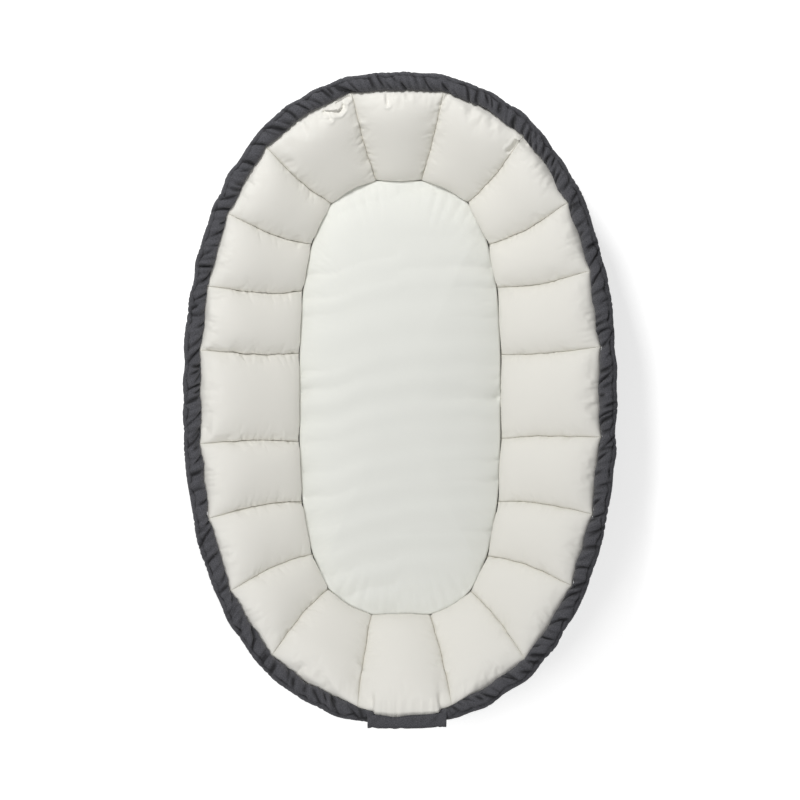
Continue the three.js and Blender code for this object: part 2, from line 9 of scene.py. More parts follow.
import bpy
import numpy as np
from bpy.props import FloatProperty, FloatVectorProperty, IntProperty, PointerProperty
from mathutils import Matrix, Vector


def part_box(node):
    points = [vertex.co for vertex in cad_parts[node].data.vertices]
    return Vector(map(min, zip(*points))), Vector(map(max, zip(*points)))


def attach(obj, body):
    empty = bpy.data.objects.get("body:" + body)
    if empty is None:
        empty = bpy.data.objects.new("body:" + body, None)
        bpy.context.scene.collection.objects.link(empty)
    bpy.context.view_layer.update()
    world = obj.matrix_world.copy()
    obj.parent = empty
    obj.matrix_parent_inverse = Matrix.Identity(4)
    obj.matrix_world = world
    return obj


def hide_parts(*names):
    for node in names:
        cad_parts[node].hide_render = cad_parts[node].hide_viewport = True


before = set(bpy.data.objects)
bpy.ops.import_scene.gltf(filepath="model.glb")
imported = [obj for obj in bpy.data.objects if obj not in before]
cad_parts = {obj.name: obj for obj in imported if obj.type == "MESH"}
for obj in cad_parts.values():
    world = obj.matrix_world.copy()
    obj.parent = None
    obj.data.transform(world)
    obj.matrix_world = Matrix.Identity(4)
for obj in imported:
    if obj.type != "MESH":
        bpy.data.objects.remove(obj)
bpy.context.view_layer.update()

bl_info = {
    "name": "Infant lounger",
    "version": (1, 0, 0),
    "blender": (4, 5, 0),
    "location": "View3D > Sidebar > Lounger",
    "description": "Padded wall, mattress, gathered rim and cord fittings of an infant lounger",
    "category": "Add Mesh",
}

MATTRESS_LOW, MATTRESS_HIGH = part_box("mattress_cover")
FLAP_LOW, FLAP_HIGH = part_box("foot_flap")
LOCK_LOW, LOCK_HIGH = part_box("cord_lock_body")
BUTTON_LOW, BUTTON_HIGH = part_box("cord_lock_button")
CLIP_LOW, CLIP_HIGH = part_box("cord_end_clip")
BASE_LOW, BASE_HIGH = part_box("base_panel")
LINING_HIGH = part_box("floor_lining")[1]

# Where the wall's seams meet the rim and the floor, as shares of the half turn from the head to the foot
RIGHT_SEAMS = (
    (0.046, 0.031), (0.142, 0.106), (0.229, 0.167), (0.316, 0.23), (0.422, 0.371),
    (0.559, 0.62), (0.669, 0.758), (0.76, 0.838), (0.856, 0.889), (0.946, 0.957),
)
LEFT_SEAMS = (
    (0.051, 0.035), (0.159, 0.108), (0.243, 0.167), (0.337, 0.237), (0.427, 0.369),
    (0.569, 0.628), (0.675, 0.758), (0.767, 0.836), (0.851, 0.886), (0.956, 0.959),
)
CHAMBERS = len(RIGHT_SEAMS) + len(LEFT_SEAMS)

# Folds are measured on a usual chamber, as wide at the rim and as long up the wall as this
CHAMBER_WIDTH = 0.1
WALL_LENGTH = 0.16

# Height of the stitches that hold the flap
HINGE_HEIGHT = 0.1206

# How far the rim is pulled in at a seam and pressed in beside the gap
SEAM_DENT = 0.0046
MOUTH_DENT = 0.0082

# How far the pads' columns stay off a seam, as a share of a chamber
SEAM_SHARE = 0.003

# Cells of the outer cover across a chamber and up the wall, which the pads' back has to stay under
COVER_CELLS = (18, 32)

# Play round the cord in the lock and the clip
CORD_PLAY = 0.0003

# Depths of the pads' puckers at the rim, at the floor and along their seams
RIM_PUCKER, FLOOR_PUCKER, SEAM_PUCKER = 0.0034, 0.0016, 0.0020

# How far the pads' seams bow and how far they wander
SEAM_BOW, SEAM_WANDER = 0.0075, 0.0004

# How far the chamber at the foot swells up against the binding
FOOT_SWELL = 0.0152

# Depths of the mattress's folds from its long edges, of the beads at its edge and of the rolls across it
BED_FOLD, BED_BEAD, BED_ROLL = 0.0110, 0.0032, 0.0015

# Depths of the rim's groove beside the cord, of its gathers and of its ripples, and the deepest of all
RIM_GROOVE, RIM_GATHER, RIM_RIPPLE, RIM_DEEPEST = 0.0030, 0.0016, 0.0007, 0.006

# The lining's last rows at the foot, as shares of the way up the wall. In the gap: how far they lie inside
# the flap's edge, how much of its dip they follow and how high over the hinge they lie. Beside the gap: how
# far they lie inside the rim's middle line, and how high
FOOT_ROWS = (0.906, 0.917, 0.927, 0.938, 0.948, 0.958, 0.969, 0.979, 0.99)
FOOT_PROFILE = (
    (0.0161, 0.0140, 0.0118, 0.0095, 0.0072, 0.0048, 0.0020, 0, 0.0003),
    (0, 0, 0, 0, 0, 0.05, 0.4, 1.0, 0),
    (-0.0016, -0.0010, -0.0005, 0, 0.0004, 0.0008, 0.0010, 0.0008, -0.0010),
    (0.0232, 0.0216, 0.0199, 0.0180, 0.0160, 0.0136, 0.0102, 0.0058, 0.0040),
    (0.1068, 0.1080, 0.1093, 0.1106, 0.1120, 0.1134, 0.1147, 0.1150, 0.1120),
)


def linear(code):
    """An sRGB hex colour as linear red, green and blue."""
    parts = [int(code[i:i + 2], 16) / 255 for i in (1, 3, 5)]
    return [c / 12.92 if c <= 0.04045 else ((c + 0.055) / 1.055) ** 2.4 for c in parts]


# Sizes and colours a user would change


def metres(name, description, default):
    """A setting in metres."""
    return FloatProperty(name=name, description=description, default=default, unit="LENGTH")


def half_size(name, description, default):
    """A setting of half the width and half the length of an oval."""
    return FloatVectorProperty(name=name, description=description, size=2, default=default, unit="LENGTH")


def tint(name, description, code):
    """A colour setting."""
    return FloatVectorProperty(
        name=name, description=description, subtype="COLOR", size=3, default=linear(code))


class LoungerWall(bpy.types.PropertyGroup):
    rim_half: half_size("Rim half size", "Half width and length of the rim's middle line", (0.285, 0.4345))
    floor_half: half_size("Floor half size", "Half width and length of the seam at the floor", (0.145, 0.31))
    rim_power: FloatProperty(name="Rim roundness", description="Power of the rim's oval", default=2.3)
    floor_power: FloatProperty(name="Floor roundness", description="Power of the floor's oval", default=3.1)
    rim_height: metres("Rim height", "Height of the rim's middle line", 0.108)
    seam_height: metres("Floor seam height", "Height of the floor seam", 0.00458)
    end_gap: metres("Wall end", "From the rim's middle line to the wall's edge", 0.0118)
    seam_depth: metres("Seam depth", "Half thickness of the wall at a seam", 0.0014)
    lining: metres("Lining", "Thickness of the lining", 0.0012)
    cloth: metres("Outer cloth", "Thickness of the outer cloth", 0.0015)
    inner_bulge: metres("Inner bulge", "How far a full chamber stands out inside", 0.030)
    outer_bulge: metres("Outer bulge", "How far a full chamber stands out outside", 0.012)
    columns: IntProperty(name="Columns", description="Cloth cells across a chamber", default=30)
    rows: IntProperty(name="Rows", description="Cloth cells up a chamber", default=48)


class LoungerMattress(bpy.types.PropertyGroup):
    half: half_size("Half size", "Half width and length", (MATTRESS_HIGH.x, MATTRESS_HIGH.y))
    power: FloatProperty(name="Roundness", description="Power of the oval", default=3.1)
    underside: metres("Underside", "Height of the underside", MATTRESS_LOW.z)
    edge: metres("Edge seam", "Height of the edge seam over the underside", 0.016)
    crown: metres("Crown", "Height of the crown over the edge seam", 0.026)
    turn: metres("Turn", "Width of the turn under the edge", 0.01)
    cell: metres("Cell", "Size of a cloth cell", 0.0038)


class LoungerRim(bpy.types.PropertyGroup):
    radius: metres("Radius", "Radius of the rim", 0.012)
    gap_middle: metres("Gap middle", "Where the gap at the foot lies", (FLAP_LOW.x + FLAP_HIGH.x) / 2)
    gap_half: metres("Gap half", "Half width of the gap at the foot", 0.042)
    columns: IntProperty(name="Columns", description="Cloth cells along the rim", default=1960)
    sides: IntProperty(name="Sides", description="Cloth cells round the rim", default=50)
    seed: IntProperty(name="Creases", description="Picks another set of creases", default=21)


class LoungerCord(bpy.types.PropertyGroup):
    radius: metres("Radius", "Radius of the cord", 0.002)
    pair: metres("Pair", "Half the distance between the tails", 0.0022)
    bend: metres("Bend", "Radius of the bend into the tails", 0.007)
    end: metres("End", "Height of the cord's ends in their clip", 0.0628)


class LoungerColours(bpy.types.PropertyGroup):
    lining: tint("Lining", "Cream cotton of the lining", "#eeece5")
    mattress: tint("Mattress", "Off-white cotton of the mattress cover", "#ebece6")
    charcoal: tint("Charcoal", "Middle tone of the heathered cotton", "#454549")
    cord: tint("Cord", "Braided cord", "#3c3c41")
    plastic: tint("Plastic", "Moulded fittings", "#2c2c2f")
    steel: tint("Steel", "Spring wire", "#b4b7bb")


# Modelling helpers


def activate(piece):
    """Selects one piece alone."""
    bpy.ops.object.select_all(action="DESELECT")
    piece.select_set(True)
    bpy.context.view_layer.objects.active = piece


def points(mesh):
    """The places of a mesh's vertices."""
    places = np.zeros(len(mesh.vertices) * 3)
    mesh.vertices.foreach_get("co", places)
    return places.reshape(-1, 3)


def put(piece, places):
    """Moves a piece's vertices to new places."""
    piece.data.vertices.foreach_set("co", np.ascontiguousarray(places, dtype=float).ravel())
    piece.data.update()


def grid(name, columns, rows):
    """A flat grid of cells, with the column and the row of each vertex."""
    bpy.ops.object.select_all(action="DESELECT")
    bpy.ops.mesh.primitive_grid_add(x_subdivisions=columns, y_subdivisions=rows, size=1)
    piece = bpy.context.object
    piece.name = piece.data.name = name
    flat = points(piece.data) + 0.5
    return piece, np.rint(flat[:, 0] * columns).astype(int), np.rint(flat[:, 1] * rows).astype(int)


def edit(piece, operation, **settings):
    """Runs one mesh operation over a whole piece."""
    activate(piece)
    bpy.ops.object.mode_set(mode="EDIT")
    bpy.ops.mesh.select_all(action="SELECT")
    operation(**settings)
    bpy.ops.object.mode_set(mode="OBJECT")


def weld(piece):
    """Closes a piece where its edges meet."""
    edit(piece, bpy.ops.mesh.remove_doubles, threshold=1e-6)


def close_under(top, under):
    """Turns an underside to face down and sews it to its top."""
    edit(under, bpy.ops.mesh.flip_normals)
    activate(top)
    under.select_set(True)
    bpy.ops.object.join()
    weld(top)


def modify(piece, kind, **settings):
    """Adds a modifier and applies it."""
    activate(piece)
    bpy.ops.object.modifier_add(type=kind)
    made = piece.modifiers[-1]
    for name, value in settings.items():
        setattr(made, name, value)
    bpy.ops.object.modifier_apply(modifier=made.name)


def smooth(piece, levels=1):
    """One round of subdivision and smooth shading."""
    if levels:
        modify(piece, "SUBSURF", levels=levels, render_levels=levels)
    activate(piece)
    bpy.ops.object.shade_smooth()


def tube(name, sections, capped=True, sewn=True):
    """A closed tube through rings of points, with a pole at each end where it is capped. Where it isn't sewn,
    its two long edges meet and stay apart."""
    if capped:
        ends = [np.repeat(ring.mean(axis=0, keepdims=True), len(ring), axis=0) for ring in
                (sections[0], sections[-1])]
        sections = np.concatenate([ends[:1], sections, ends[1:]])
    length, sides = sections.shape[:2]
    piece, column, row = grid(name, length - 1, sides)
    put(piece, sections[column, row % sides])
    if sewn:
        weld(piece)
    edit(piece, bpy.ops.mesh.normals_make_consistent, inside=False)
    return piece


def note(piece, name, values):
    """Keeps one value a vertex, for a piece's material."""
    piece.data.attributes.new(name, "FLOAT", "POINT").data.foreach_set("value", values)


def shade(piece, sections, values):
    """Keeps how high each place of a tube lies, for its material, which paints shade into the low places from
    it.
    """
    def keys(places):
        return map(tuple, np.round(places * 1e6).astype(int).tolist())

    lookup = dict(zip(keys(sections.reshape(-1, 3)), values.ravel().tolist()))
    note(piece, "height", [lookup.get(key, 1.0) for key in keys(points(piece.data))])


def swept(route, radii, sides):
    """Rings of points round a route, carried along it without a twist."""
    ahead = np.gradient(route, axis=0)
    ahead /= np.linalg.norm(ahead, axis=1, keepdims=True)
    side = np.array([0.0, -1.0, 0.0])
    angle = 2 * math.pi * np.arange(sides) / sides
    rings = []
    for point, way, radius in zip(route, ahead, radii):
        side = side - way * side.dot(way)
        side /= np.linalg.norm(side)
        other = np.cross(way, side)
        rings.append(point + radius * (np.outer(np.cos(angle), side) + np.outer(np.sin(angle), other)))
    return np.array(rings)


def weights(piece, name, values):
    """A vertex group from one value a vertex."""
    group = piece.vertex_groups.new(name=name)
    for value in np.unique(np.round(values, 2)):
        if value > 0:
            group.add(np.flatnonzero(np.round(values, 2) == value).tolist(), float(value), "REPLACE")
    return group.name


def settle(piece, held, spare, cap, *, pressure, least, most, bending, steps):
    """Lets the cloth find its folds. Held vertices stay, spare ones have more cloth than the shape needs, and
    none moves further than the cap."""
    before = points(piece.data)
    activate(piece)
    bpy.ops.object.modifier_add(type="CLOTH")
    cloth = piece.modifiers[-1]
    made = cloth.settings
    made.vertex_group_mass = weights(piece, "held", held)
    made.vertex_group_shrink = weights(piece, "spare", spare)
    made.shrink_min = least
    made.shrink_max = most
    made.mass = 0.005
    made.bending_stiffness = bending
    made.tension_stiffness = made.compression_stiffness = 15
    made.shear_stiffness = 5
    made.use_pressure = True
    made.uniform_pressure_force = pressure
    made.effector_weights.gravity = 0
    cloth.collision_settings.use_collision = False
    for step in range(1, steps + 1):
        bpy.context.scene.frame_set(step)
    settled = piece.evaluated_get(bpy.context.evaluated_depsgraph_get())
    after = points(settled.data)
    piece.modifiers.remove(cloth)
    piece.vertex_groups.clear()
    bpy.context.scene.frame_set(1)
    moved = after - before
    length = np.linalg.norm(moved, axis=1, keepdims=True)
    put(piece, before + moved * np.minimum(1, cap / np.maximum(length, 1e-9)))


def dress(piece, material, body, slot, *nodes):
    """Gives a piece its material and body, and names the solids it stands for. Its slot is not used."""
    piece.data.materials.clear()
    piece.data.materials.append(material)
    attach(piece, body)
    if nodes:
        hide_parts(*nodes)


# The wall's shape


def oval(half, power, angle):
    """Points of an oval at angles measured clockwise from the head."""
    across, along = np.sin(angle), np.cos(angle)
    reach = (np.abs(across / half[0]) ** power + np.abs(along / half[1]) ** power) ** (-1 / power)
    return np.stack([across * reach, along * reach], -1)


def foot_y(half, power, x):
    """How far an oval reaches towards the foot at x."""
    return -half[1] * (1 - np.abs(x / half[0]) ** power) ** (1 / power)


def seam_angles():
    """Angles of the seams at the rim and the floor, clockwise from the head, the first one repeated."""
    right = np.array(RIGHT_SEAMS) * math.pi
    left = (2 - np.array(LEFT_SEAMS[::-1])) * math.pi
    return np.vstack([right, left, right[:1] + 2 * math.pi])


def wall_lines(size, place):
    """The wall's lines from the floor seam to the rim, at places counted in chambers."""
    ring = seam_angles()
    chamber = np.floor(place).astype(int) % CHAMBERS
    share = (place - np.floor(place))[:, None]
    angle = ring[chamber] * (1 - share) + ring[chamber + 1] * share
    height = np.ones((len(place), 1))
    start = np.hstack([oval(size.floor_half, size.floor_power, angle[:, 1]), size.seam_height * height])
    end = np.hstack([oval(size.rim_half, size.rim_power, angle[:, 0]), size.rim_height * height])
    up = end - start
    length = np.linalg.norm(up, axis=1, keepdims=True)
    up /= length
    flat = np.hypot(up[:, 0], up[:, 1])[:, None]
    normal = np.hstack([-up[:, :2] * up[:, 2:] / flat, flat])
    return {"start": start, "end": end, "up": up, "normal": normal, "length": length - size.end_gap}


def pillow(share, power):
    """The shape of a stuffed chamber: 0 at both ends and 1 in the middle."""
    return np.clip(4 * share * (1 - share), 0, 1) ** power


def bell(away, width):
    """1 where away is 0, falling off on both sides."""
    return np.exp(-(away / width) ** 2)


def waves(values, seed, longest, shortest, count=7):
    """Smooth made-up variation between about -1 and 1 along a measure."""
    chance = np.random.default_rng(seed)
    total = np.zeros(np.shape(values))
    for _ in range(count):
        length = longest * (shortest / longest) ** chance.random()
        total += np.sin(2 * math.pi * (np.asarray(values) / length + chance.random()))
    return total / math.sqrt(count)


def seam_dents(size, spots):
    """How far the seams pull in the rim's inner side."""
    seams = oval(size.rim_half, size.rim_power, seam_angles()[:-1, 0])
    gaps = spots[:, None] - seams[None]
    return SEAM_DENT * np.exp(-np.min(np.hypot(gaps[..., 0], gaps[..., 1]), axis=1) / 0.015)


def mouth_dents(rim, spots):
    """How far the rim's inner side is pressed flat towards its two openings at the foot."""
    away = np.maximum(0, np.abs(spots[:, 0] - rim.gap_middle) - rim.gap_half)
    return np.where(spots[:, 1] < 0, MOUTH_DENT * bell(away, 0.036), 0)


# Tucks that the lining's gathers leave near the rim: their creases' places, depths and widths
TUCKS = (
    (((-0.0708, 0.4116), (-0.0804, 0.4066), (-0.0853, 0.4032)), 0.0065, 0.0021),
    (((-0.0770, 0.4032), (-0.0777, 0.3977), (-0.0823, 0.3916), (-0.0892, 0.3909), (-0.1034, 0.3913)),
     0.0060, 0.0022),
    (((-0.0970, 0.3894), (-0.0943, 0.3824)), 0.0040, 0.0020),
    (((0.1462, 0.3415), (0.1530, 0.3454), (0.1592, 0.3528)), 0.0052, 0.0020),
    (((0.1647, 0.3511), (0.1700, 0.3462), (0.1758, 0.3435)), 0.0052, 0.0020),
    (((0.1630, 0.3666), (0.1681, 0.3566), (0.1723, 0.3481)), 0.0065, 0.0023),
    (((-0.0180, 0.4230), (-0.0170, 0.4020)), 0.0042, 0.0019),
    (((0.0680, 0.4180), (0.0560, 0.4020)), 0.0036, 0.0024),
)


def tucked(spots):
    """How deep the tucks lie under each spot, with a low roll beside each."""
    total = np.zeros(len(spots))
    for route, deep, wide in TUCKS:
        near = np.full(len(spots), 1.0)
        for start, end in zip(route, route[1:]):
            start, way = np.array(start), np.array(end) - np.array(start)
            share = np.clip((spots - start) @ way / (way @ way), 0, 1)
            near = np.minimum(near, np.linalg.norm(spots - start - share[:, None] * way, axis=1))
        total += deep * (bell(near, wide) - 0.3 * bell(near - 2.4 * wide, wide))
    return total


def pleats(run, seed, shortest, longest, length):
    """Made-up pleats along a run: 0 on their backs and 1 in the sharp creases between them."""
    chance = np.random.default_rng(seed)
    edges = np.cumsum(chance.uniform(shortest, longest, int(1.4 * length / shortest))) - 0.1 * length
    number = np.clip(np.searchsorted(edges, run), 1, len(edges) - 1)
    share = np.clip((run - edges[number - 1]) / (edges[number] - edges[number - 1]), 0, 1)
    low = chance.uniform(0.4, 1, len(edges))
    floor = low[number - 1] * (1 - share) + low[number] * share
    return floor * (1 - np.sin(math.pi * share) ** 0.55)


# Materials


def add(tree, kind, inputs=None, **settings):
    """Adds a node with its settings and inputs. An input that is a socket is linked."""
    made = tree.nodes.new(kind)
    for name, value in settings.items():
        setattr(made, name, value)
    for name, value in (inputs or {}).items():
        if isinstance(value, bpy.types.NodeSocket):
            tree.links.new(value, made.inputs[name])
        else:
            made.inputs[name].default_value = value
    return made


def new_material(name, inputs):
    """A material with one principled shader and its constant inputs."""
    material = bpy.data.materials.new(name)
    material.use_nodes = True
    tree = material.node_tree
    tree.nodes.clear()
    shader = add(tree, "ShaderNodeBsdfPrincipled", inputs)
    add(tree, "ShaderNodeOutputMaterial", {"Surface": shader.outputs["BSDF"]})
    return material, tree, shader


def combine(tree, operation, *values):
    """One value from one or two others."""
    return add(tree, "ShaderNodeMath", dict(enumerate(values)), operation=operation).outputs["Value"]


def noise(tree, place, scale, detail=2.0, roughness=0.5):
    """Soft random variation."""
    return add(tree, "ShaderNodeTexNoise", {
        "Vector": place, "Scale": scale, "Detail": detail, "Roughness": roughness}).outputs["Fac"]


def tones(tree, share, colour, dark, pale):
    """A colour between a darker and a paler tone of itself."""
    return add(tree, "ShaderNodeMix", {
        0: share, 6: (*[c * dark for c in colour], 1), 7: (*[min(1, c * pale) for c in colour], 1)},
        data_type="RGBA").outputs[2]


def surface(tree, shader, tone, height, strength, distance):
    """Links a colour and a bump to a shader."""
    tree.links.new(tone, shader.inputs["Base Color"])
    bump = add(tree, "ShaderNodeBump", {"Height": height, "Strength": strength, "Distance": distance})
    tree.links.new(bump.outputs["Normal"], shader.inputs["Normal"])


def in_view(tree):
    """1 for rays from the camera, also mirrored or let through, and 0 for those that only carry light."""
    path = add(tree, "ShaderNodeLightPath").outputs
    seen = combine(tree, "MAXIMUM", path["Is Camera Ray"], path["Is Glossy Ray"])
    return combine(tree, "MAXIMUM", seen, path["Is Transmission Ray"])


def weave(tree, size, spacing):
    """Plain weave over a piece's own UV map, whose real size is given: warp and weft as a height."""
    uv = add(tree, "ShaderNodeTexCoord").outputs["UV"]
    threads = []
    for direction in ("X", "Y"):
        scaled = add(tree, "ShaderNodeMapping", {"Vector": uv, "Scale": (size[0], size[1], 1)})
        threads.append(add(
            tree, "ShaderNodeTexWave", {"Vector": scaled.outputs["Vector"], "Scale": 0.1 * math.pi / spacing,
                                        "Distortion": 0.6, "Detail": 1.0, "Detail Scale": 2.0},
            bands_direction=direction).outputs["Fac"])
    return combine(tree, "MULTIPLY", *threads)


def cotton_lining(name, size, part="lining"):
    """Off-white cotton sateen, woven tight and pressed: soft, with a faint sheen where pulled smooth."""
    colour = getattr(bpy.context.scene.lounger_colours, part)
    material, tree, shader = new_material(name, {
        "Roughness": 0.62, "Sheen Weight": 0.12, "Sheen Roughness": 0.5, "Specular IOR Level": 0.35})
    place = add(tree, "ShaderNodeTexCoord").outputs["Object"]
    tone = tones(tree, noise(tree, place, 9.0, 3.0), colour, 0.965, 1.02)
    # Painted shade: along the seams, beside them and down by the floor seam the cotton is painted greyer and
    # warmer, as shade and its own bounce make it there
    gathers = add(tree, "ShaderNodeAttribute", attribute_name="gathers").outputs["Fac"]
    tone = add(tree, "ShaderNodeMix", {0: gathers, 6: tone, 7: (*linear("#a8a491"), 1)},
               data_type="RGBA").outputs[2]
    # Threads lie 0.25 mm apart, too fine to show from here, so they are drawn 1.2 mm apart and very low
    threads = weave(tree, size, 0.0012)
    creases = noise(tree, place, 60.0, 4.0, 0.6)
    height = add(tree, "ShaderNodeMix", {0: 0.8, 2: threads, 3: creases}, data_type="FLOAT")
    surface(tree, shader, tone, height.outputs[0], 0.12, 0.0006)
    return material


def heathered_cotton(name, size, gathered=False):
    """Charcoal chambray, woven from dark and pale yarns, so that it is flecked along both thread directions.
    Where it is gathered, shade is painted into its creases and a little light onto their backs."""
    colour = bpy.context.scene.lounger_colours.charcoal
    material, tree, shader = new_material(name, {
        "Roughness": 0.88, "Sheen Weight": 0.1, "Sheen Roughness": 0.6, "Specular IOR Level": 0.25})
    uv = add(tree, "ShaderNodeTexCoord").outputs["UV"]
    flecks = []
    # Yarn flecks are 0.4 mm wide and 2 to 3 mm long, drawn 0.8 mm wide to show from here
    for stretch in ((1.0, 0.4), (0.4, 1.0)):
        scaled = add(tree, "ShaderNodeMapping", {
            "Vector": uv, "Scale": (size[0] * stretch[0] * 1250, size[1] * stretch[1] * 1250, 1)})
        flecks.append(noise(tree, scaled.outputs["Vector"], 1.0, 2.0, 0.7))
    both = combine(tree, "ADD", *flecks)
    fleck = add(tree, "ShaderNodeMapRange", {"Value": both, 1: 0.72, 2: 1.3, 3: 0.0, 4: 1.0})
    tone = tones(tree, fleck.outputs["Result"], colour, 0.5, 1.95)
    if gathered:
        # Painted shade: the colour is darkened deep in the creases and lightened a little on their backs, by
        # how high each place lies
        height = add(tree, "ShaderNodeAttribute", attribute_name="height").outputs["Fac"]
        deep = add(tree, "ShaderNodeMapRange", {"Value": height, 1: 0.1, 2: 1.0, 3: 0.3, 4: 1.08})
        tone = add(tree, "ShaderNodeMix", {0: 1.0, 6: tone, 7: deep.outputs["Result"]}, data_type="RGBA",
                   blend_type="MULTIPLY").outputs[2]
    surface(tree, shader, tone, both, 0.5, 0.0004)
    return material


def braid(name, size):
    """Round braided polyester cord: two sets of yarns that cross at a slant, matt, with shade painted into
    the gaps between them.
    """
    colour = bpy.context.scene.lounger_colours.cord
    material, tree, shader = new_material(name, {
        "Roughness": 0.8, "Sheen Weight": 0.15, "Sheen Roughness": 0.5})
    uv = add(tree, "ShaderNodeTexCoord").outputs["UV"]
    yarns = []
    # Sixteen yarns go round the cord, and a yarn comes back to its place after 9 mm
    for way in (1, -1):
        turned_uv = add(tree, "ShaderNodeMapping", {"Vector": uv, "Scale": (size[0] / 0.009 * 8, 8 * way, 1)})
        split = add(tree, "ShaderNodeSeparateXYZ", {0: turned_uv.outputs["Vector"]})
        total = combine(tree, "ADD", split.outputs["X"], split.outputs["Y"])
        wave = combine(tree, "SINE", combine(tree, "MULTIPLY", total, math.pi))
        yarns.append(combine(tree, "ABSOLUTE", wave))
    height = combine(tree, "MULTIPLY", *yarns)
    # Painted shade and light: the colour follows the yarns' height, darker in the gaps between them and paler
    # on their crowns
    surface(tree, shader, tones(tree, height, colour, 0.35, 1.5), height, 0.6, 0.0003)
    return material


def moulded_plastic(name):
    """Nylon moulded in a finely spark-eroded tool: dark, matt and faintly grained."""
    colour = bpy.context.scene.lounger_colours.plastic
    material, tree, shader = new_material(name, {"Roughness": 0.42, "IOR": 1.53})
    place = add(tree, "ShaderNodeTexCoord").outputs["Object"]
    # The grain is about 0.2 mm
    grain = noise(tree, place, 5000.0)
    surface(tree, shader, tones(tree, noise(tree, place, 150.0), colour, 0.85, 1.2), grain, 0.15, 0.0001)
    return material


def drawn_steel(name):
    """Spring steel wire, drawn: bright, with fine marks along the wire."""
    colour = bpy.context.scene.lounger_colours.steel
    material, tree, shader = new_material(name, {"Metallic": 1.0})
    marks = noise(tree, add(tree, "ShaderNodeTexCoord").outputs["Object"], 4000.0)
    rough = add(tree, "ShaderNodeMapRange", {"Value": marks, 3: 0.25, 4: 0.42})
    tree.links.new(rough.outputs["Result"], shader.inputs["Roughness"])
    tree.links.new(tones(tree, marks, colour, 0.9, 1.0), shader.inputs["Base Color"])
    return material


# Pieces


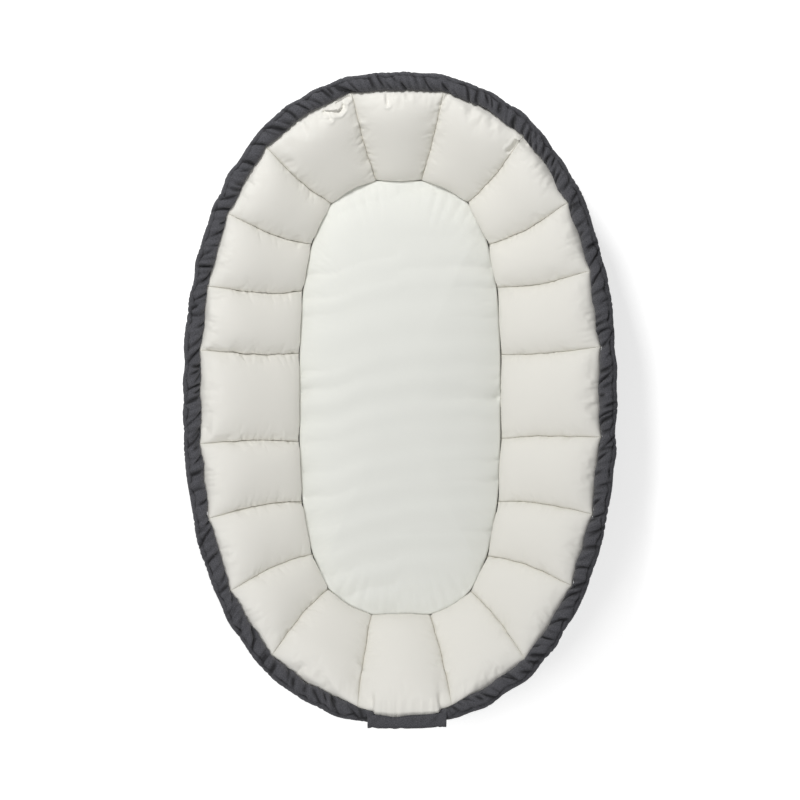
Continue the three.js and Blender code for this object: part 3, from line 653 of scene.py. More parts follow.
class MakePads(bpy.types.Operator):
    """The lining over twenty stuffed chambers, as one padded ring"""
    bl_idname = "lounger.wall_pads"
    bl_label = "Wall pads"

    def execute(self, context):
        size = context.scene.lounger_wall
        folds = self.found_folds(size)

        # The stuffed shape, on cells of half the size
        fine, rows = 2 * size.columns, 2 * size.rows
        lines, line, piece, column, row, front, up = self.cells(size, "wall_pads", fine, rows, 12)
        step = column % fine
        chamber = column // fine % CHAMBERS
        share = np.clip((step - 1) / (fine - 2), 0, 1)
        chance = np.random.default_rng(5)
        fullness = chance.uniform(0.9, 1.03, CHAMBERS)[chamber]
        low = np.exp(-up * WALL_LENGTH / 0.028)
        contact = 0.45 + 0.45 * low
        crown = contact + (1 - contact) * (1 - np.abs(2 * share - 1) ** 2.1) ** 0.78
        crown = np.where(step == 0, (0.8 + 0.12 * low) * contact, crown)
        fullness = np.where(step == 0, 0.97, fullness)
        rise = (1 - np.abs(2 * up - 1) ** np.where(up < 0.5, 4.5, 3.2)) ** 0.5
        inner = 0.0004 + size.seam_depth + size.lining + size.inner_bulge * crown * rise * fullness
        # Behind, it stays under the outer cover, whose own cells are larger
        knots, levels = (np.arange(count + 1) / count for count in COVER_CELLS)
        gathered = np.where(step == 0, 0, np.clip(share, SEAM_SHARE, 1 - SEAM_SHARE))
        behind = np.interp(gathered, knots, pillow(knots, 0.5)) * np.interp(up, levels, pillow(levels, 0.8))
        outer = 0.0005 - size.seam_depth - 0.88 * size.outer_bulge * behind
        near = self.near_edges(share, up)
        free = front & (step > 0) & (up > 0) & (up < 1)

        # Puckers where the lining is gathered into the rim and into the floor seam
        width = CHAMBER_WIDTH * up + 0.055 * (1 - up)
        run = (column / fine) * CHAMBER_WIDTH
        to_rim, to_floor = (1 - up) * WALL_LENGTH, up * WALL_LENGTH
        slant = 0.25 * waves(run, 51, 0.2, 0.05)
        reach = 0.007 * (1 + 0.7 * waves(run, 52, 0.09, 0.02))
        pucker = RIM_PUCKER * pleats(run + slant * to_rim, 53, 0.006, 0.019, 2.0) * np.exp(
            -to_rim / np.clip(reach, 0.003, 0.02))
        pucker += FLOOR_PUCKER * pleats(run + slant * to_floor, 54, 0.005, 0.014, 2.0) * np.exp(
            -to_floor / 0.008)
        beside = np.minimum(share, 1 - share) * width
        level = up * WALL_LENGTH + np.where(share < 0.5, 0.05, 0) + chamber * 0.3
        small = waves(chamber * 0.7 + up * WALL_LENGTH + (share > 0.5) * 0.37, 55, 0.08, 0.03)
        pucker += SEAM_PUCKER * pleats(level + 0.4 * beside * small, 56, 0.006, 0.014, 7.0) * np.exp(
            -beside / 0.0055) * np.clip(0.7 + 0.8 * small, 0, 1.5)
        pucker *= (step > 0) & (up > 0) & (up < 1)
        depth = np.where(front, inner - pucker * np.minimum(1, crown * rise * 2), outer)

        # In the rim's gap at the foot the chamber swells up against the binding
        rim = context.scene.lounger_rim
        foot = front * in_gap(rim, line["end"][:, 0], -0.006) * (line["end"][:, 1] < 0)
        swell = (FOOT_SWELL + 0.0006 * waves(run, 57, 0.03, 0.01)) * np.clip((1 - up) / 0.02, 0, 1) ** 0.5
        depth = np.where(up > 0.5, np.maximum(depth, foot * swell), depth)

        # Columns gather at the seams, and the seams wander a little
        place = (column + (gathered * fine - step)) / fine
        line = self.lines_of(size, place)
        beyond = np.where(front, 1.2 * self.dents(context, line), 0)[:, None] * up[:, None] ** 6
        beyond += (foot * 0.85 * np.minimum(depth, swell) * np.clip((up - 0.8) / 0.15, 0, 1))[:, None]
        places = self.place(line, up, depth) + line["up"] * beyond
        tall = np.arange(rows + 1) / rows
        bend = np.stack([
            SEAM_BOW * math.sin(2 * angle) * np.sin(math.pi * tall)
            + SEAM_WANDER * pillow(tall, 0.6) * waves(tall * WALL_LENGTH, 60 + i % CHAMBERS, 0.16, 0.03)
            for i, angle in enumerate(seam_angles()[:, 0])])
        level = np.clip(np.rint(up * rows).astype(int), 0, rows)
        wander = bend[chamber, level] * (1 - share) + bend[chamber + 1, level] * share
        calm = 0.5 + 0.5 * np.exp(-np.minimum(up, 1 - up) * WALL_LENGTH / 0.025)
        moved = self.spread(size, folds, column, row)
        moved *= free[:, None] * (0.08 + 1.15 * near * calm)[:, None]
        places += self.world(line, moved)
        places -= line["normal"] * (tucked(places[:, :2]) * free)[:, None]
        places = self.keep_clear(context, places, lines, column, fine, line, free)
        side = np.cross(line["up"], line["normal"])
        side *= np.sign(np.sum(side * self.ahead(place), axis=1, keepdims=True))
        places += side * (wander * front)[:, None]
        self.turn_over(context, places, up, foot, front & (up < 1) & (line["end"][:, 1] < 0))
        put(piece, places)
        # Painted shade for the lining's material: strongest on each seam line, softer beside the seams and by
        # the floor seam, where the clefts lie in shade
        gathers = 0.75 * (step == 0) + 0.18 * np.exp(-beside / 0.004) + 0.3 * np.exp(-to_floor / 0.010)
        note(piece, "gathers", front * np.minimum(gathers, 1))
        weld(piece)
        smooth(piece, 0)
        dress(piece, cotton_lining("lining_cotton", (1.95, 0.4)), "nest", "lining",
              "wall_lining", *[f"wall_fill_{i + 1:02d}" for i in range(CHAMBERS)])
        return {"FINISHED"}

    def found_folds(self, size):
        """Where the cloth lies off its even shape, with what all chambers share taken away. It is blown up
        from an even bulge, which leaves its folds in the spare cloth at the seams."""
        _, line, piece, column, row, front, up = self.cells(size, "pads_cut", size.columns, size.rows, 10)
        step = column % size.columns
        held = (step == 0) | (up == 0) | (up == 1) | ~front
        across = step / size.columns
        full = pillow(across, 0.5) * pillow(up, 0.7)
        inner = size.seam_depth + size.lining + 0.9 * size.inner_bulge * full
        start = self.place(line, up, np.where(front, inner, -size.seam_depth))
        put(piece, start)
        settle(piece, held.astype(float), self.near_edges(across, up), 0.014, pressure=20, least=-0.05,
               most=-0.16, bending=0.02, steps=12)
        moved = self.local(line, points(piece.data) - start)
        folds = np.zeros((CHAMBERS * size.columns, size.rows + 1, 3))
        free = front & ~held & (column < CHAMBERS * size.columns)
        folds[column[free], row[free]] = moved[free]
        every = folds.reshape(CHAMBERS, size.columns, size.rows + 1, 3)
        every -= every.mean(axis=0)
        every[:, 0] = every[:, :, 0] = every[:, :, -1] = 0
        bpy.data.objects.remove(piece)
        return folds

    def spread(self, size, folds, column, row):
        """The folds at each vertex of the finer cells."""
        grain = np.clip(column / 2, 0, CHAMBERS * size.columns)
        low, part = np.floor(grain).astype(int), (grain % 1)[:, None]
        base, rest = np.clip(row // 2, 0, size.rows - 1), ((row / 2) - row // 2)[:, None]
        ring = np.concatenate([folds, folds[:1]])
        high = np.minimum(low + 1, len(ring) - 1)
        return ((ring[low, base] * (1 - part) + ring[high, base] * part) * (1 - rest)
                + (ring[low, base + 1] * (1 - part) + ring[high, base + 1] * part) * rest)

    def cells(self, size, name, columns, rows, behind):
        """A ring of cloth cells: the inside from the floor up, then the outside back down."""
        last = rows + behind + 2
        piece, column, row = grid(name, CHAMBERS * columns, last)
        lines = wall_lines(size, np.arange(CHAMBERS * columns + 1) / columns)
        line = {name: values[column] for name, values in lines.items()}
        front = (row <= rows) | (row == last)
        up = np.where(front, (row % last) / rows, 1 - (row - rows - 1) / behind)
        return lines, line, piece, column, row, front, up

    def lines_of(self, size, place):
        """The wall's line at each vertex's own place."""
        spots, back = np.unique(place, return_inverse=True)
        return {name: values[back] for name, values in wall_lines(size, spots).items()}

    def ahead(self, place):
        """Roughly which way the places run, clockwise."""
        ring = seam_angles()
        angle = np.interp(place, np.arange(len(ring)), ring[:, 0])
        return np.stack([np.cos(angle), -np.sin(angle), np.zeros(len(angle))], -1)

    def near_edges(self, across, up):
        """1 at a chamber's edges, falling off inwards."""
        near = np.exp(-np.minimum(across, 1 - across) * CHAMBER_WIDTH / 0.012)
        near = np.maximum(near, np.exp(-up * WALL_LENGTH / 0.015))
        return np.maximum(near, np.exp(-(1 - up) * WALL_LENGTH / 0.02))

    def dents(self, context, line):
        """How far the rim's inner side lies back from its full shape."""
        scene, spots = context.scene, line["end"][:, :2]
        return np.maximum(seam_dents(scene.lounger_wall, spots), mouth_dents(scene.lounger_rim, spots))

    def turn_over(self, context, places, up, foot, shown):
        """At the foot the lining turns over the binding and ends on the flap's stitched edge. Beside the gap
        it lies over the rim's flattened ends."""
        size, rim = context.scene.lounger_wall, context.scene.lounger_rim
        x = places[:, 0]
        inside, dip, rise, behind, low = (np.interp(up, FOOT_ROWS, values) for values in FOOT_PROFILE)
        over = FLAP_HIGH.y + inside - dip * flap_dip(x)
        beside = foot_y(size.rim_half, size.rim_power, np.clip(x, -0.2, 0.2)) + behind
        ripple = 0.0006 * waves(x, 58, 0.02, 0.006) * (up < 0.975)
        rise += HINGE_HEIGHT + ripple
        low += ripple
        y, z = over * foot + beside * (1 - foot), rise * foot + low * (1 - foot)
        mouth = mouth_dents(rim, np.column_stack([x, np.full(len(x), -1.0)])) / MOUTH_DENT
        share = np.maximum(foot, mouth) * np.clip((up - 0.90) / 0.03, 0, 1) * shown
        places[:, 1] += (y - places[:, 1]) * share
        places[:, 2] += (z - places[:, 2]) * share

    def place(self, line, up, depth):
        """Points at a share of the way up the wall's lines and a depth along their normals."""
        return line["start"] + line["up"] * line["length"] * up[:, None] + line["normal"] * depth[:, None]

    def local(self, line, moved):
        """Movements along the wall's side, up and normal directions."""
        side = np.cross(line["up"], line["normal"])
        return np.stack([np.sum(moved * way, axis=1) for way in (side, line["up"], line["normal"])], -1)

    def world(self, line, moved):
        """Movements along the wall's own directions, in the frame's directions."""
        side = np.cross(line["up"], line["normal"])
        return side * moved[:, :1] + line["up"] * moved[:, 1:2] + line["normal"] * moved[:, 2:]

    def keep_clear(self, context, places, lines, column, columns, line, free):
        """Presses the pads flat where they meet each other, the mattress and the rim."""
        bed = context.scene.lounger_mattress
        touch = 0.0002
        chamber = np.minimum(column // columns, CHAMBERS - 1)
        seam = np.arange(CHAMBERS + 1) * columns
        side = np.cross(lines["up"][seam], lines["normal"][seam])
        ahead = lines["start"][(seam + 1) % len(lines["start"])] - lines["start"][seam]
        side *= np.sign(np.sum(side * ahead, axis=1, keepdims=True))
        for offset, sign in ((0, 1), (1, -1)):
            edge = chamber + offset
            away = np.sum((places - lines["start"][seam][edge]) * side[edge], axis=1) * sign
            short = np.where(free, np.maximum(0, touch - away), 0)
            places += side[edge] * (short * sign)[:, None]
        share = (np.abs(places[:, 0] / (bed.half[0] + touch)) ** bed.power
                 + np.abs(places[:, 1] / (bed.half[1] + touch)) ** bed.power) ** (1 / bed.power)
        # Above its edge seam the mattress curves in, and the pads lean over it by a few millimetres
        above = np.clip((places[:, 2] - 0.0003 - bed.underside - bed.edge) / (0.89 * bed.crown), 0, 1)
        room = (1 - above ** 2) ** (1 / 2.6)
        lean = np.where(places[:, 0] > 0, 0.970, 0.984)
        room = np.where(above > 0, np.maximum(room, lean), 1)
        inside = free & (share < room) & (places[:, 2] < bed.underside + bed.edge + bed.crown)
        places[inside, :2] *= (room / share)[inside, None]
        away = places - line["end"]
        distance = np.linalg.norm(away, axis=1)
        rim = context.scene.lounger_rim
        least = rim.radius + 0.0003 - self.dents(context, line)
        gap = (np.abs(line["end"][:, 0] - rim.gap_middle) < rim.gap_half - 0.002) & (line["end"][:, 1] < 0)
        close = free & (distance < least) & ~gap
        places[close] += away[close] * (least[close] / distance[close] - 1)[:, None]
        return places


class MakeCover(bpy.types.Operator):
    """The charcoal cloth on the outside of the wall"""
    bl_idname = "lounger.outer_cover"
    bl_label = "Outer cover"

    def execute(self, context):
        size = context.scene.lounger_wall
        columns, rows = COVER_CELLS
        piece, column, row = grid("outer_cover", CHAMBERS * columns, rows)
        lines = wall_lines(size, np.arange(CHAMBERS * columns + 1) / columns)
        line = {name: values[column] for name, values in lines.items()}
        across = (column % columns) / columns
        up = (row / rows)[:, None]
        full = (pillow(across, 0.5) * pillow(up[:, 0], 0.8))[:, None]
        depth = -size.seam_depth - size.cloth - 0.9 * size.outer_bulge * full
        put(piece, line["start"] + line["up"] * line["length"] * up + line["normal"] * depth)
        held = (column % columns == 0) | (row == 0) | (row == rows)
        near = np.maximum(np.exp(-np.minimum(across, 1 - across) * CHAMBER_WIDTH / 0.015),
                          np.exp(-(1 - up[:, 0]) * WALL_LENGTH / 0.03))
        settle(piece, held.astype(float), near, 0.006, pressure=-12, least=-0.04, most=-0.14, bending=0.02,
               steps=20)
        places = points(piece.data)
        depth = np.sum((places - line["start"]) * line["normal"], axis=1)
        least = -(size.seam_depth + 0.0013 + size.outer_bulge * full[:, 0])
        places += line["normal"] * np.minimum(0, least - depth)[:, None] * (~held)[:, None]
        put(piece, places)
        weld(piece)
        modify(piece, "SOLIDIFY", thickness=0.0009, offset=1)
        smooth(piece)
        dress(piece, heathered_cotton("cover_cotton", (1.95, 0.17)), "nest", "charcoal", "outer_wall")
        # The ring is cut in a curve, 2.3 m long at the rim and 1.5 m at the floor
        return {"FINISHED"}


def bed_grid(name, half, power, cell):
    """A grid pressed into an oval, with each vertex's share of the way from the middle to the edge."""
    columns, rows = (2 * round(side / cell) for side in half)
    piece, column, row = grid(name, columns, rows)
    square = np.stack([2 * column / columns - 1, 2 * row / rows - 1], -1)
    share = np.abs(square).max(axis=1)
    reach = (np.abs(square) ** power).sum(axis=1) ** (1 / power)
    flat = square * (share / np.maximum(reach, 1e-9))[:, None]
    return piece, flat * np.array(half), share


class MakeMattress(bpy.types.Operator):
    """The lift-out mattress: a crowned cushion with a seam round its edge"""
    bl_idname = "lounger.mattress"
    bl_label = "Mattress"

    def execute(self, context):
        size = context.scene.lounger_mattress
        half = np.array(size.half)
        edge = size.underside + size.edge
        top, flat, share = bed_grid("mattress", half, size.power, size.cell)
        height = edge + 0.91 * size.crown * (1 - share ** 2.3) ** 0.55
        start = np.column_stack([flat, height])
        put(top, start)
        ends = np.clip(1.35 - np.abs(flat[:, 1]) / half[1], 0.2, 1)
        near = np.exp(-(1 - share) * half[0] / 0.016) * ends
        settle(top, (share > 0.9999).astype(float), near, 0.008, pressure=14, least=0.0, most=-0.1,
               bending=0.03, steps=12)
        # The cover lies in soft folds across, which start at its long edges
        inward = (1 - share) * half[0]
        tilt = np.where(flat[:, 0] < 0, -0.26, -0.05) * flat[:, 0]
        along = flat[:, 1] + tilt + 0.004 * waves(flat[:, 0], 71, 0.2, 0.06)
        side = np.where(flat[:, 0] < 0, 0, 9.0) + along
        fold = pleats(side, 72, 0.022, 0.048, 7.0) * np.exp(-inward / 0.026)
        fold *= np.clip(0.7 + 0.5 * waves(side, 73, 0.2, 0.05), 0.1, 1.2)
        rolls = waves(along, 74, 0.07, 0.035) * (0.25 + 0.75 * np.exp(-inward / 0.06)) * ends
        beads = pleats(np.arctan2(flat[:, 0] / half[0], flat[:, 1] / half[1]) * 0.24, 75, 0.006, 0.016, 2.0)
        free = np.clip(inward / 0.003, 0, 1)
        # Only the folds that the cloth found are kept, not how far it was blown up
        found = self.relief(points(top.data)[:, 2] - height, size)
        settled = start.copy()
        settled[:, 2] += free * (
            1.5 * np.clip(found, -0.002, 0.0012) + BED_ROLL * rolls - BED_FOLD * fold * ends
            - BED_BEAD * beads * ends * np.exp(-inward / 0.007))
        most = edge + size.crown * (1 - share ** 2.6) ** 0.5
        settled[:, 2] = np.minimum(settled[:, 2], most)
        put(top, settled)
        under, flat, share = bed_grid("mattress_under", half, size.power, size.cell)
        turned = np.clip((share - 1 + size.turn / half[0]) / (size.turn / half[0]), 0, 1)
        height = size.underside + size.edge * (1 - np.sqrt(1 - turned ** 2))
        put(under, np.column_stack([flat, height]))
        close_under(top, under)
        smooth(top)
        dress(top, cotton_lining("mattress_cotton", (0.29, 0.62), "mattress"), "mattress", "lining",
              "mattress_cover", "mattress_core")
        return {"FINISHED"}

    def relief(self, lift, size):
        """What is left of the cloth's lift once its even swell is taken away."""
        rows, columns = (2 * round(side / size.cell) + 1 for side in reversed(size.half))
        lift = even = lift.reshape(rows, columns)
        for _ in range(40):
            wide = np.pad(even, 1, mode="edge")
            even = (wide[:-2, 1:-1] + wide[2:, 1:-1] + wide[1:-1, :-2] + wide[1:-1, 2:]) / 4
        return (lift - even).ravel()


class MakeFloor(bpy.types.Operator):
    """The padded floor under the mattress and the cloth panel under the whole nest"""
    bl_idname = "lounger.floor"
    bl_label = "Floor"

    def execute(self, context):
        size = context.scene.lounger_wall
        half = np.array([BASE_HIGH.x, BASE_HIGH.y])
        panel, flat, _ = bed_grid("base_cloth", half, size.floor_power, 0.008)
        put(panel, np.column_stack([flat, np.full(len(flat), BASE_HIGH.z)]))
        modify(panel, "SOLIDIFY", thickness=BASE_HIGH.z - BASE_LOW.z, offset=-1)
        smooth(panel)
        dress(panel, heathered_cotton("base_cotton", (0.3, 0.63)), "nest", "charcoal", "base_panel")

        half = np.array([LINING_HIGH.x, LINING_HIGH.y])
        pad, flat, share = bed_grid("floor_pad", half, size.floor_power, 0.006)
        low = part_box("floor_wadding")[0].z
        high = LINING_HIGH.z
        thin = 0.5 * (high - low) * np.clip((share - 0.95) / 0.05, 0, 1) ** 2
        put(pad, np.column_stack([flat, high - thin]))
        under = bed_grid("floor_pad_under", half, size.floor_power, 0.006)[0]
        put(under, np.column_stack([flat, low + thin]))
        close_under(pad, under)
        smooth(pad)
        dress(pad, cotton_lining("floor_cotton", (0.28, 0.61)), "nest", "lining",
              "floor_lining", "floor_wadding")
        return {"FINISHED"}


def distances(path):
    """How far along a path each of its points lies."""
    return np.concatenate([[0], np.cumsum(np.linalg.norm(np.diff(path, axis=0), axis=1))])


def rim_line(size, rim, share):
    """Points of the rim's middle line at shares of its length, the directions outwards and the length."""
    half, power = size.rim_half, size.rim_power
    right, left = (rim.gap_middle + rim.gap_half, rim.gap_middle - rim.gap_half)
    first, final = (math.atan2(x, foot_y(half, power, x)) for x in (right, left))
    path = oval(half, power, np.linspace(first, final, 6001))
    run = distances(path)
    spots, ways = (np.stack([np.interp(share * run[-1], run, values[:, i]) for i in (0, 1)], -1)
                   for values in (path, np.gradient(path, run, axis=0)))
    ways /= np.linalg.norm(ways, axis=1, keepdims=True)
    flat = np.zeros((len(share), 1))
    out = np.stack([ways[:, 1], -ways[:, 0], flat[:, 0]], -1)
    return np.hstack([spots, flat + size.rim_height]), out, run[-1]


class MakeRim(bpy.types.Operator):
    """The gathered charcoal tunnel round the top edge"""
    bl_idname = "lounger.rim"
    bl_label = "Rim"

    def execute(self, context):
        size, rim = context.scene.lounger_wall, context.scene.lounger_rim
        share = np.arange(rim.columns + 1) / rim.columns
        centre, out, length = rim_line(size, rim, share)
        column, row = np.meshgrid(np.arange(rim.columns + 1), np.arange(rim.sides), indexing="ij")
        # Angles run from the outside over the top; the wall joins the rim at the inside, below
        join = math.radians(220)
        angle = join + 2 * math.pi * row / rim.sides
        around = (angle + 0.6 * math.pi) % (2 * math.pi) - 0.6 * math.pi
        run = column / rim.columns * length
        ends = np.clip(np.minimum(run, length - run) / 0.03, 0, 1)
        # The cord lies in an outer ridge with fine gathers; a flatter band inside it has slanting creases
        groove = 1.02 + 0.12 * waves(run, 24, 0.09, 0.02)
        ridge = 1 / (1 + np.exp((around - groove) / 0.12))
        depth = RIM_GROOVE * bell(around - groove, 0.12) * (0.65 + 0.35 * waves(run, 27, 0.05, 0.015))
        patch = np.clip(0.6 + 0.6 * waves(run, 29, 0.2, 0.03), 0.15, 1.2)
        depth += RIM_GATHER * pleats(run - 0.002 * around, 22, 0.005, 0.015, length) * (
            0.2 + 0.8 * ridge) * patch
        depth += RIM_RIPPLE * waves(run + 0.004 * around, 28, 0.03, 0.008) * (1 - ridge)
        chance = np.random.default_rng(rim.seed)
        place = 0.0
        while place < length:
            place += chance.uniform(0.006, 0.022)
            middle, half = chance.uniform(1.3, 3.0), chance.uniform(0.5, 1.5)
            lean, curl = chance.uniform(-0.011, -0.002), chance.uniform(-0.002, 0.002)
            wide, deep = chance.uniform(0.0010, 0.0026), chance.uniform(0.0014, 0.0056)
            near = slice(*np.searchsorted(run[:, 0], (place - 0.03, place + 0.03)))
            off = around[near] - middle
            gap = run[near] - place - lean * off - curl * off ** 2
            crease = np.where(gap < 0, bell(gap, 1.9 * wide), bell(gap, 0.7 * wide))
            depth[near] += deep * crease * np.exp(-np.abs(off / half) ** 3)
        depth = np.minimum(depth, RIM_DEEPEST)
        dent = seam_dents(size, centre[:, :2])[column] * bell(around - math.radians(195), math.radians(60))
        mouth = mouth_dents(rim, centre[:, :2])[column]
        dent = np.maximum(dent, mouth * bell(around - math.radians(165), math.radians(62)))
        joined = np.clip((np.abs((around - join + 3 * math.pi) % (2 * math.pi) - math.pi) - 0.4) / 0.5, 0, 1)
        swell = 0.0009 * waves(run, 25, 0.16, 0.04) * ends
        radius = rim.radius + 0.0004 * ends + swell - depth * joined * ends - dent
        radius = np.where((column == 0) | (column == rim.columns), 0.0026, radius)
        wander = 0.0008 * waves(run, 26, 0.11, 0.04) * ends
        up = np.array([0, 0, 1])
        spoke = out[:, None] * np.cos(angle)[..., None] + up * np.sin(angle)[..., None]
        sections = centre[:, None] + spoke * radius[..., None] + out[:, None] * wander[..., None]
        piece = tube("gathered_rim", sections, capped=False, sewn=False)
        # The rim's material paints shade into its creases from how high each place lies
        shade(piece, sections, 1 - np.clip(depth / 0.0035, 0, 1))
        smooth(piece, 0)
        dress(piece, heathered_cotton("rim_cotton", (length, 0.075), gathered=True), "nest", "charcoal",
              "rim_tunnel")
        # A strip 77 mm wide and about a fifth longer than the rim, rolled round the cord and gathered on it
        return {"FINISHED"}


class MakeCord(bpy.types.Operator):
    """The drawstring: it runs in the rim and its two tails hang at the foot"""
    bl_idname = "lounger.drawstring"
    bl_label = "Drawstring"

    def execute(self, context):
        size, rim = context.scene.lounger_wall, context.scene.lounger_rim
        cord = context.scene.lounger_cord
        middle = rim.gap_middle
        tail_y = foot_y(size.rim_half, size.rim_power, middle)
        path = [(middle + cord.pair, tail_y, z) for z in
                np.linspace(cord.end, size.rim_height - cord.bend - 0.001, 14)]
        for angle in np.linspace(0, math.pi / 2, 7):
            path.append((middle + cord.pair + cord.bend * (1 - math.cos(angle)), tail_y,
                         size.rim_height - cord.bend * (1 - math.sin(angle))))
        line = rim_line(size, rim, np.linspace(0, 1, 500))[0]
        mirror = [(2 * middle - x, y, z) for x, y, z in path[::-1]]
        route = np.vstack([path, line, mirror])
        run = distances(route)
        even = np.linspace(0, run[-1], 1100)
        route = np.stack([np.interp(even, run, route[:, i]) for i in range(3)], -1)
        sections = swept(route, np.full(len(route), cord.radius), 12)
        piece = tube("drawstring_cord", sections)
        smooth(piece, 0)
        dress(piece, braid("cord_braid", (run[-1], 2 * math.pi * cord.radius)), "nest", "cord", "drawstring")
        return {"FINISHED"}


def flap_dip(x):
    """How far the flap's edge shows outside its hinge line, deepest a little left of its middle."""
    share = np.clip((x - FLAP_LOW.x) / (FLAP_HIGH.x - FLAP_LOW.x), 0, 1)
    return 0.0062 * (1 - share ** 7) + 0.0030 * bell(share - 0.35, 0.13) - 0.0025 * np.exp(-share / 0.08)


def in_gap(rim, x, margin):
    """1 in the rim's gap at the foot, falling off to 0 at a margin from its ends."""
    share = np.clip((rim.gap_half - margin - np.abs(x - rim.gap_middle)) / 0.006, 0, 1)
    return share ** 2 * (3 - 2 * share)


class MakeFootBinding(bpy.types.Operator):
    """The binding that closes the wall's edge in the rim's gap"""
    bl_idname = "lounger.foot_binding"
    bl_label = "Foot binding"

    def execute(self, context):
        size = context.scene.lounger_wall
        low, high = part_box("foot_binding")
        rise = math.atan2(size.rim_height - size.seam_height, size.rim_half[1] - size.floor_half[1])
        edge = size.end_gap - 0.0006
        lower, upper = size.seam_depth + size.cloth, size.seam_depth + size.lining
        hinge = FLAP_HIGH.y
        x = np.linspace(low.x - 0.0013, high.x + 0.0013, 91)
        wall_y = foot_y(size.rim_half, size.rim_power, x) + edge * math.cos(rise)
        wall_z = size.rim_height - edge * math.sin(rise)
        top = HINGE_HEIGHT - 0.0034
        corners = [np.stack(np.broadcast_arrays(x, y, z), -1) for y, z in (
            (wall_y - lower * math.sin(rise), wall_z - lower * math.cos(rise)),
            (wall_y + 0.3 * upper * math.sin(rise), wall_z + 0.3 * upper * math.cos(rise)),
            (hinge - 0.0004, top), (hinge - 0.0034, top - 0.0002),
            (hinge - 0.0036, top - 0.0014), (hinge - 0.002, top - 0.003))]
        # Corner points are rounded by taking points along the sides, denser at the corners
        sections = np.stack([a * (1 - t) + b * t for a, b in zip(corners, corners[1:] + corners[:1])
                             for t in (0.06, 0.3, 0.5, 0.7, 0.94)], axis=1)
        piece = tube("foot_binding_cloth", sections)
        smooth(piece)
        dress(piece, cotton_lining("binding_cotton", (0.08, 0.06)), "nest", "lining", "foot_binding")
        return {"FINISHED"}


class MakeFlap(bpy.types.Operator):
    """The hemmed flap that lies over the rim at the foot and hides the cord lock"""
    bl_idname = "lounger.foot_flap"
    bl_label = "Foot flap"

    def execute(self, context):
        size, rim = context.scene.lounger_wall, context.scene.lounger_rim
        thick, corner = 0.0022, 0.0055
        width = FLAP_HIGH.x - FLAP_LOW.x
        top = FLAP_HIGH.z - 0.0009
        outside = FLAP_LOW.y + 0.0012
        flat = FLAP_HIGH.y - outside - corner
        drop = top - corner - FLAP_LOW.z
        length = flat + corner * math.pi / 2 + drop
        columns, rows = 72, 60
        piece, column, row = grid("hemmed_flap", columns, rows)
        x = FLAP_LOW.x + width * column / columns
        run = length * row / rows
        turn = np.clip((run - flat) / corner, 0, math.pi / 2)
        down = np.maximum(0, run - flat - corner * math.pi / 2)
        # The flap follows the rim's curve a little, hangs in shallow folds and has one pleat at its right
        follow = 0.5 * (foot_y(size.rim_half, size.rim_power, x)
                        - foot_y(size.rim_half, size.rim_power, rim.gap_middle))
        share = np.clip(run / flat, 0, 1)
        # In the gap its edge goes on under the lining to the hinge line, where it is stitched down
        dip = flap_dip(x)
        under = in_gap(rim, x, 0.004)
        inner = 0.0004 + dip * (1 - under)
        y = FLAP_HIGH.y - inner - np.minimum(run, flat) * (1 - inner / flat) - corner * np.sin(turn)
        y += follow * share
        z = top - corner * (1 - np.cos(turn)) - down
        hang = np.clip((run - flat) / 0.02, 0, 1)
        fold = 0.0012 * waves(x + 0.1 * down, 31, 0.05, 0.012)
        y += hang * (fold + 0.0005)
        z -= (1 - hang) * 0.0008 * (1 - share) * (0.5 + 0.5 * np.abs(waves(x, 32, 0.02, 0.007)))
        free = 1 - under * (1 - np.clip(run / dip - 1.2, 0, 1))
        z -= under * np.interp(run / dip, (0, 1, 1.7), (0.0034, 0.0024, 0))
        z += (1 - hang) * free * np.sin(math.pi * share) * 0.0011 * waves(x + 0.4 * run, 34, 0.035, 0.012)
        z -= (1 - hang) * 0.0016 * bell(x - FLAP_LOW.x - 0.004 - 0.3 * run, 0.0022)
        pleat_x = 0.049 + 0.25 * (share - 0.5) * 0.02
        pleat = bell(x - pleat_x, 0.0016) - 0.7 * bell(x - pleat_x - 0.004, 0.0022)
        z -= 0.0016 * np.maximum(pleat, 0) * (1 - hang)
        y += 0.002 * pleat * hang
        z += 0.0008 * waves(x, 33, 0.06, 0.02) * np.clip((down - 0.02) / 0.03, 0, 1)
        put(piece, np.column_stack([x, y, z]))
        # Shares of the thickness: full in the hem, less on the cloth and least along the stitches
        edge = np.minimum(np.minimum(x - FLAP_LOW.x, FLAP_HIGH.x - x), length - run)
        hem = np.where(edge < 0.007, 1.0, 0.45)
        hem[np.abs(edge - 0.0058) < 0.0009] = 0.35
        group = weights(piece, "hem", hem)
        modify(piece, "SOLIDIFY", thickness=thick, offset=0, vertex_group=group, thickness_vertex_group=0.0)
        piece.vertex_groups.clear()
        smooth(piece)
        dress(piece, heathered_cotton("flap_cotton", (width, length)), "flap", "charcoal", "foot_flap")
        # Cut with 6 mm more at its sides and its end, turned in for the hem
        return {"FINISHED"}


def turned(name, profile, centre, axis, sides=48):
    """A turned body: circles of a radius at places along X or Z from a centre, closed at both ends."""
    angle = 2 * math.pi * np.arange(sides) / sides
    sections = []
    for place, radius in profile:
        ring = {"X": (np.full(sides, place), radius * np.cos(angle), radius * np.sin(angle)),
                "Z": (radius * np.cos(angle), radius * np.sin(angle), np.full(sides, place))}[axis]
        sections.append(np.stack(ring, -1) + np.array(centre))
    return tube(name, np.array(sections))


def rounded(start, end, radius, fillet, steps=4):
    """Profile of a rod with rounded ends."""
    turn = np.linspace(0, math.pi / 2, steps + 1)
    first = [(start + fillet * (1 - math.sin(a)), radius - fillet * (1 - math.cos(a))) for a in turn[::-1]]
    last = [(end - fillet * (1 - math.sin(a)), radius - fillet * (1 - math.cos(a))) for a in turn]
    return first + last


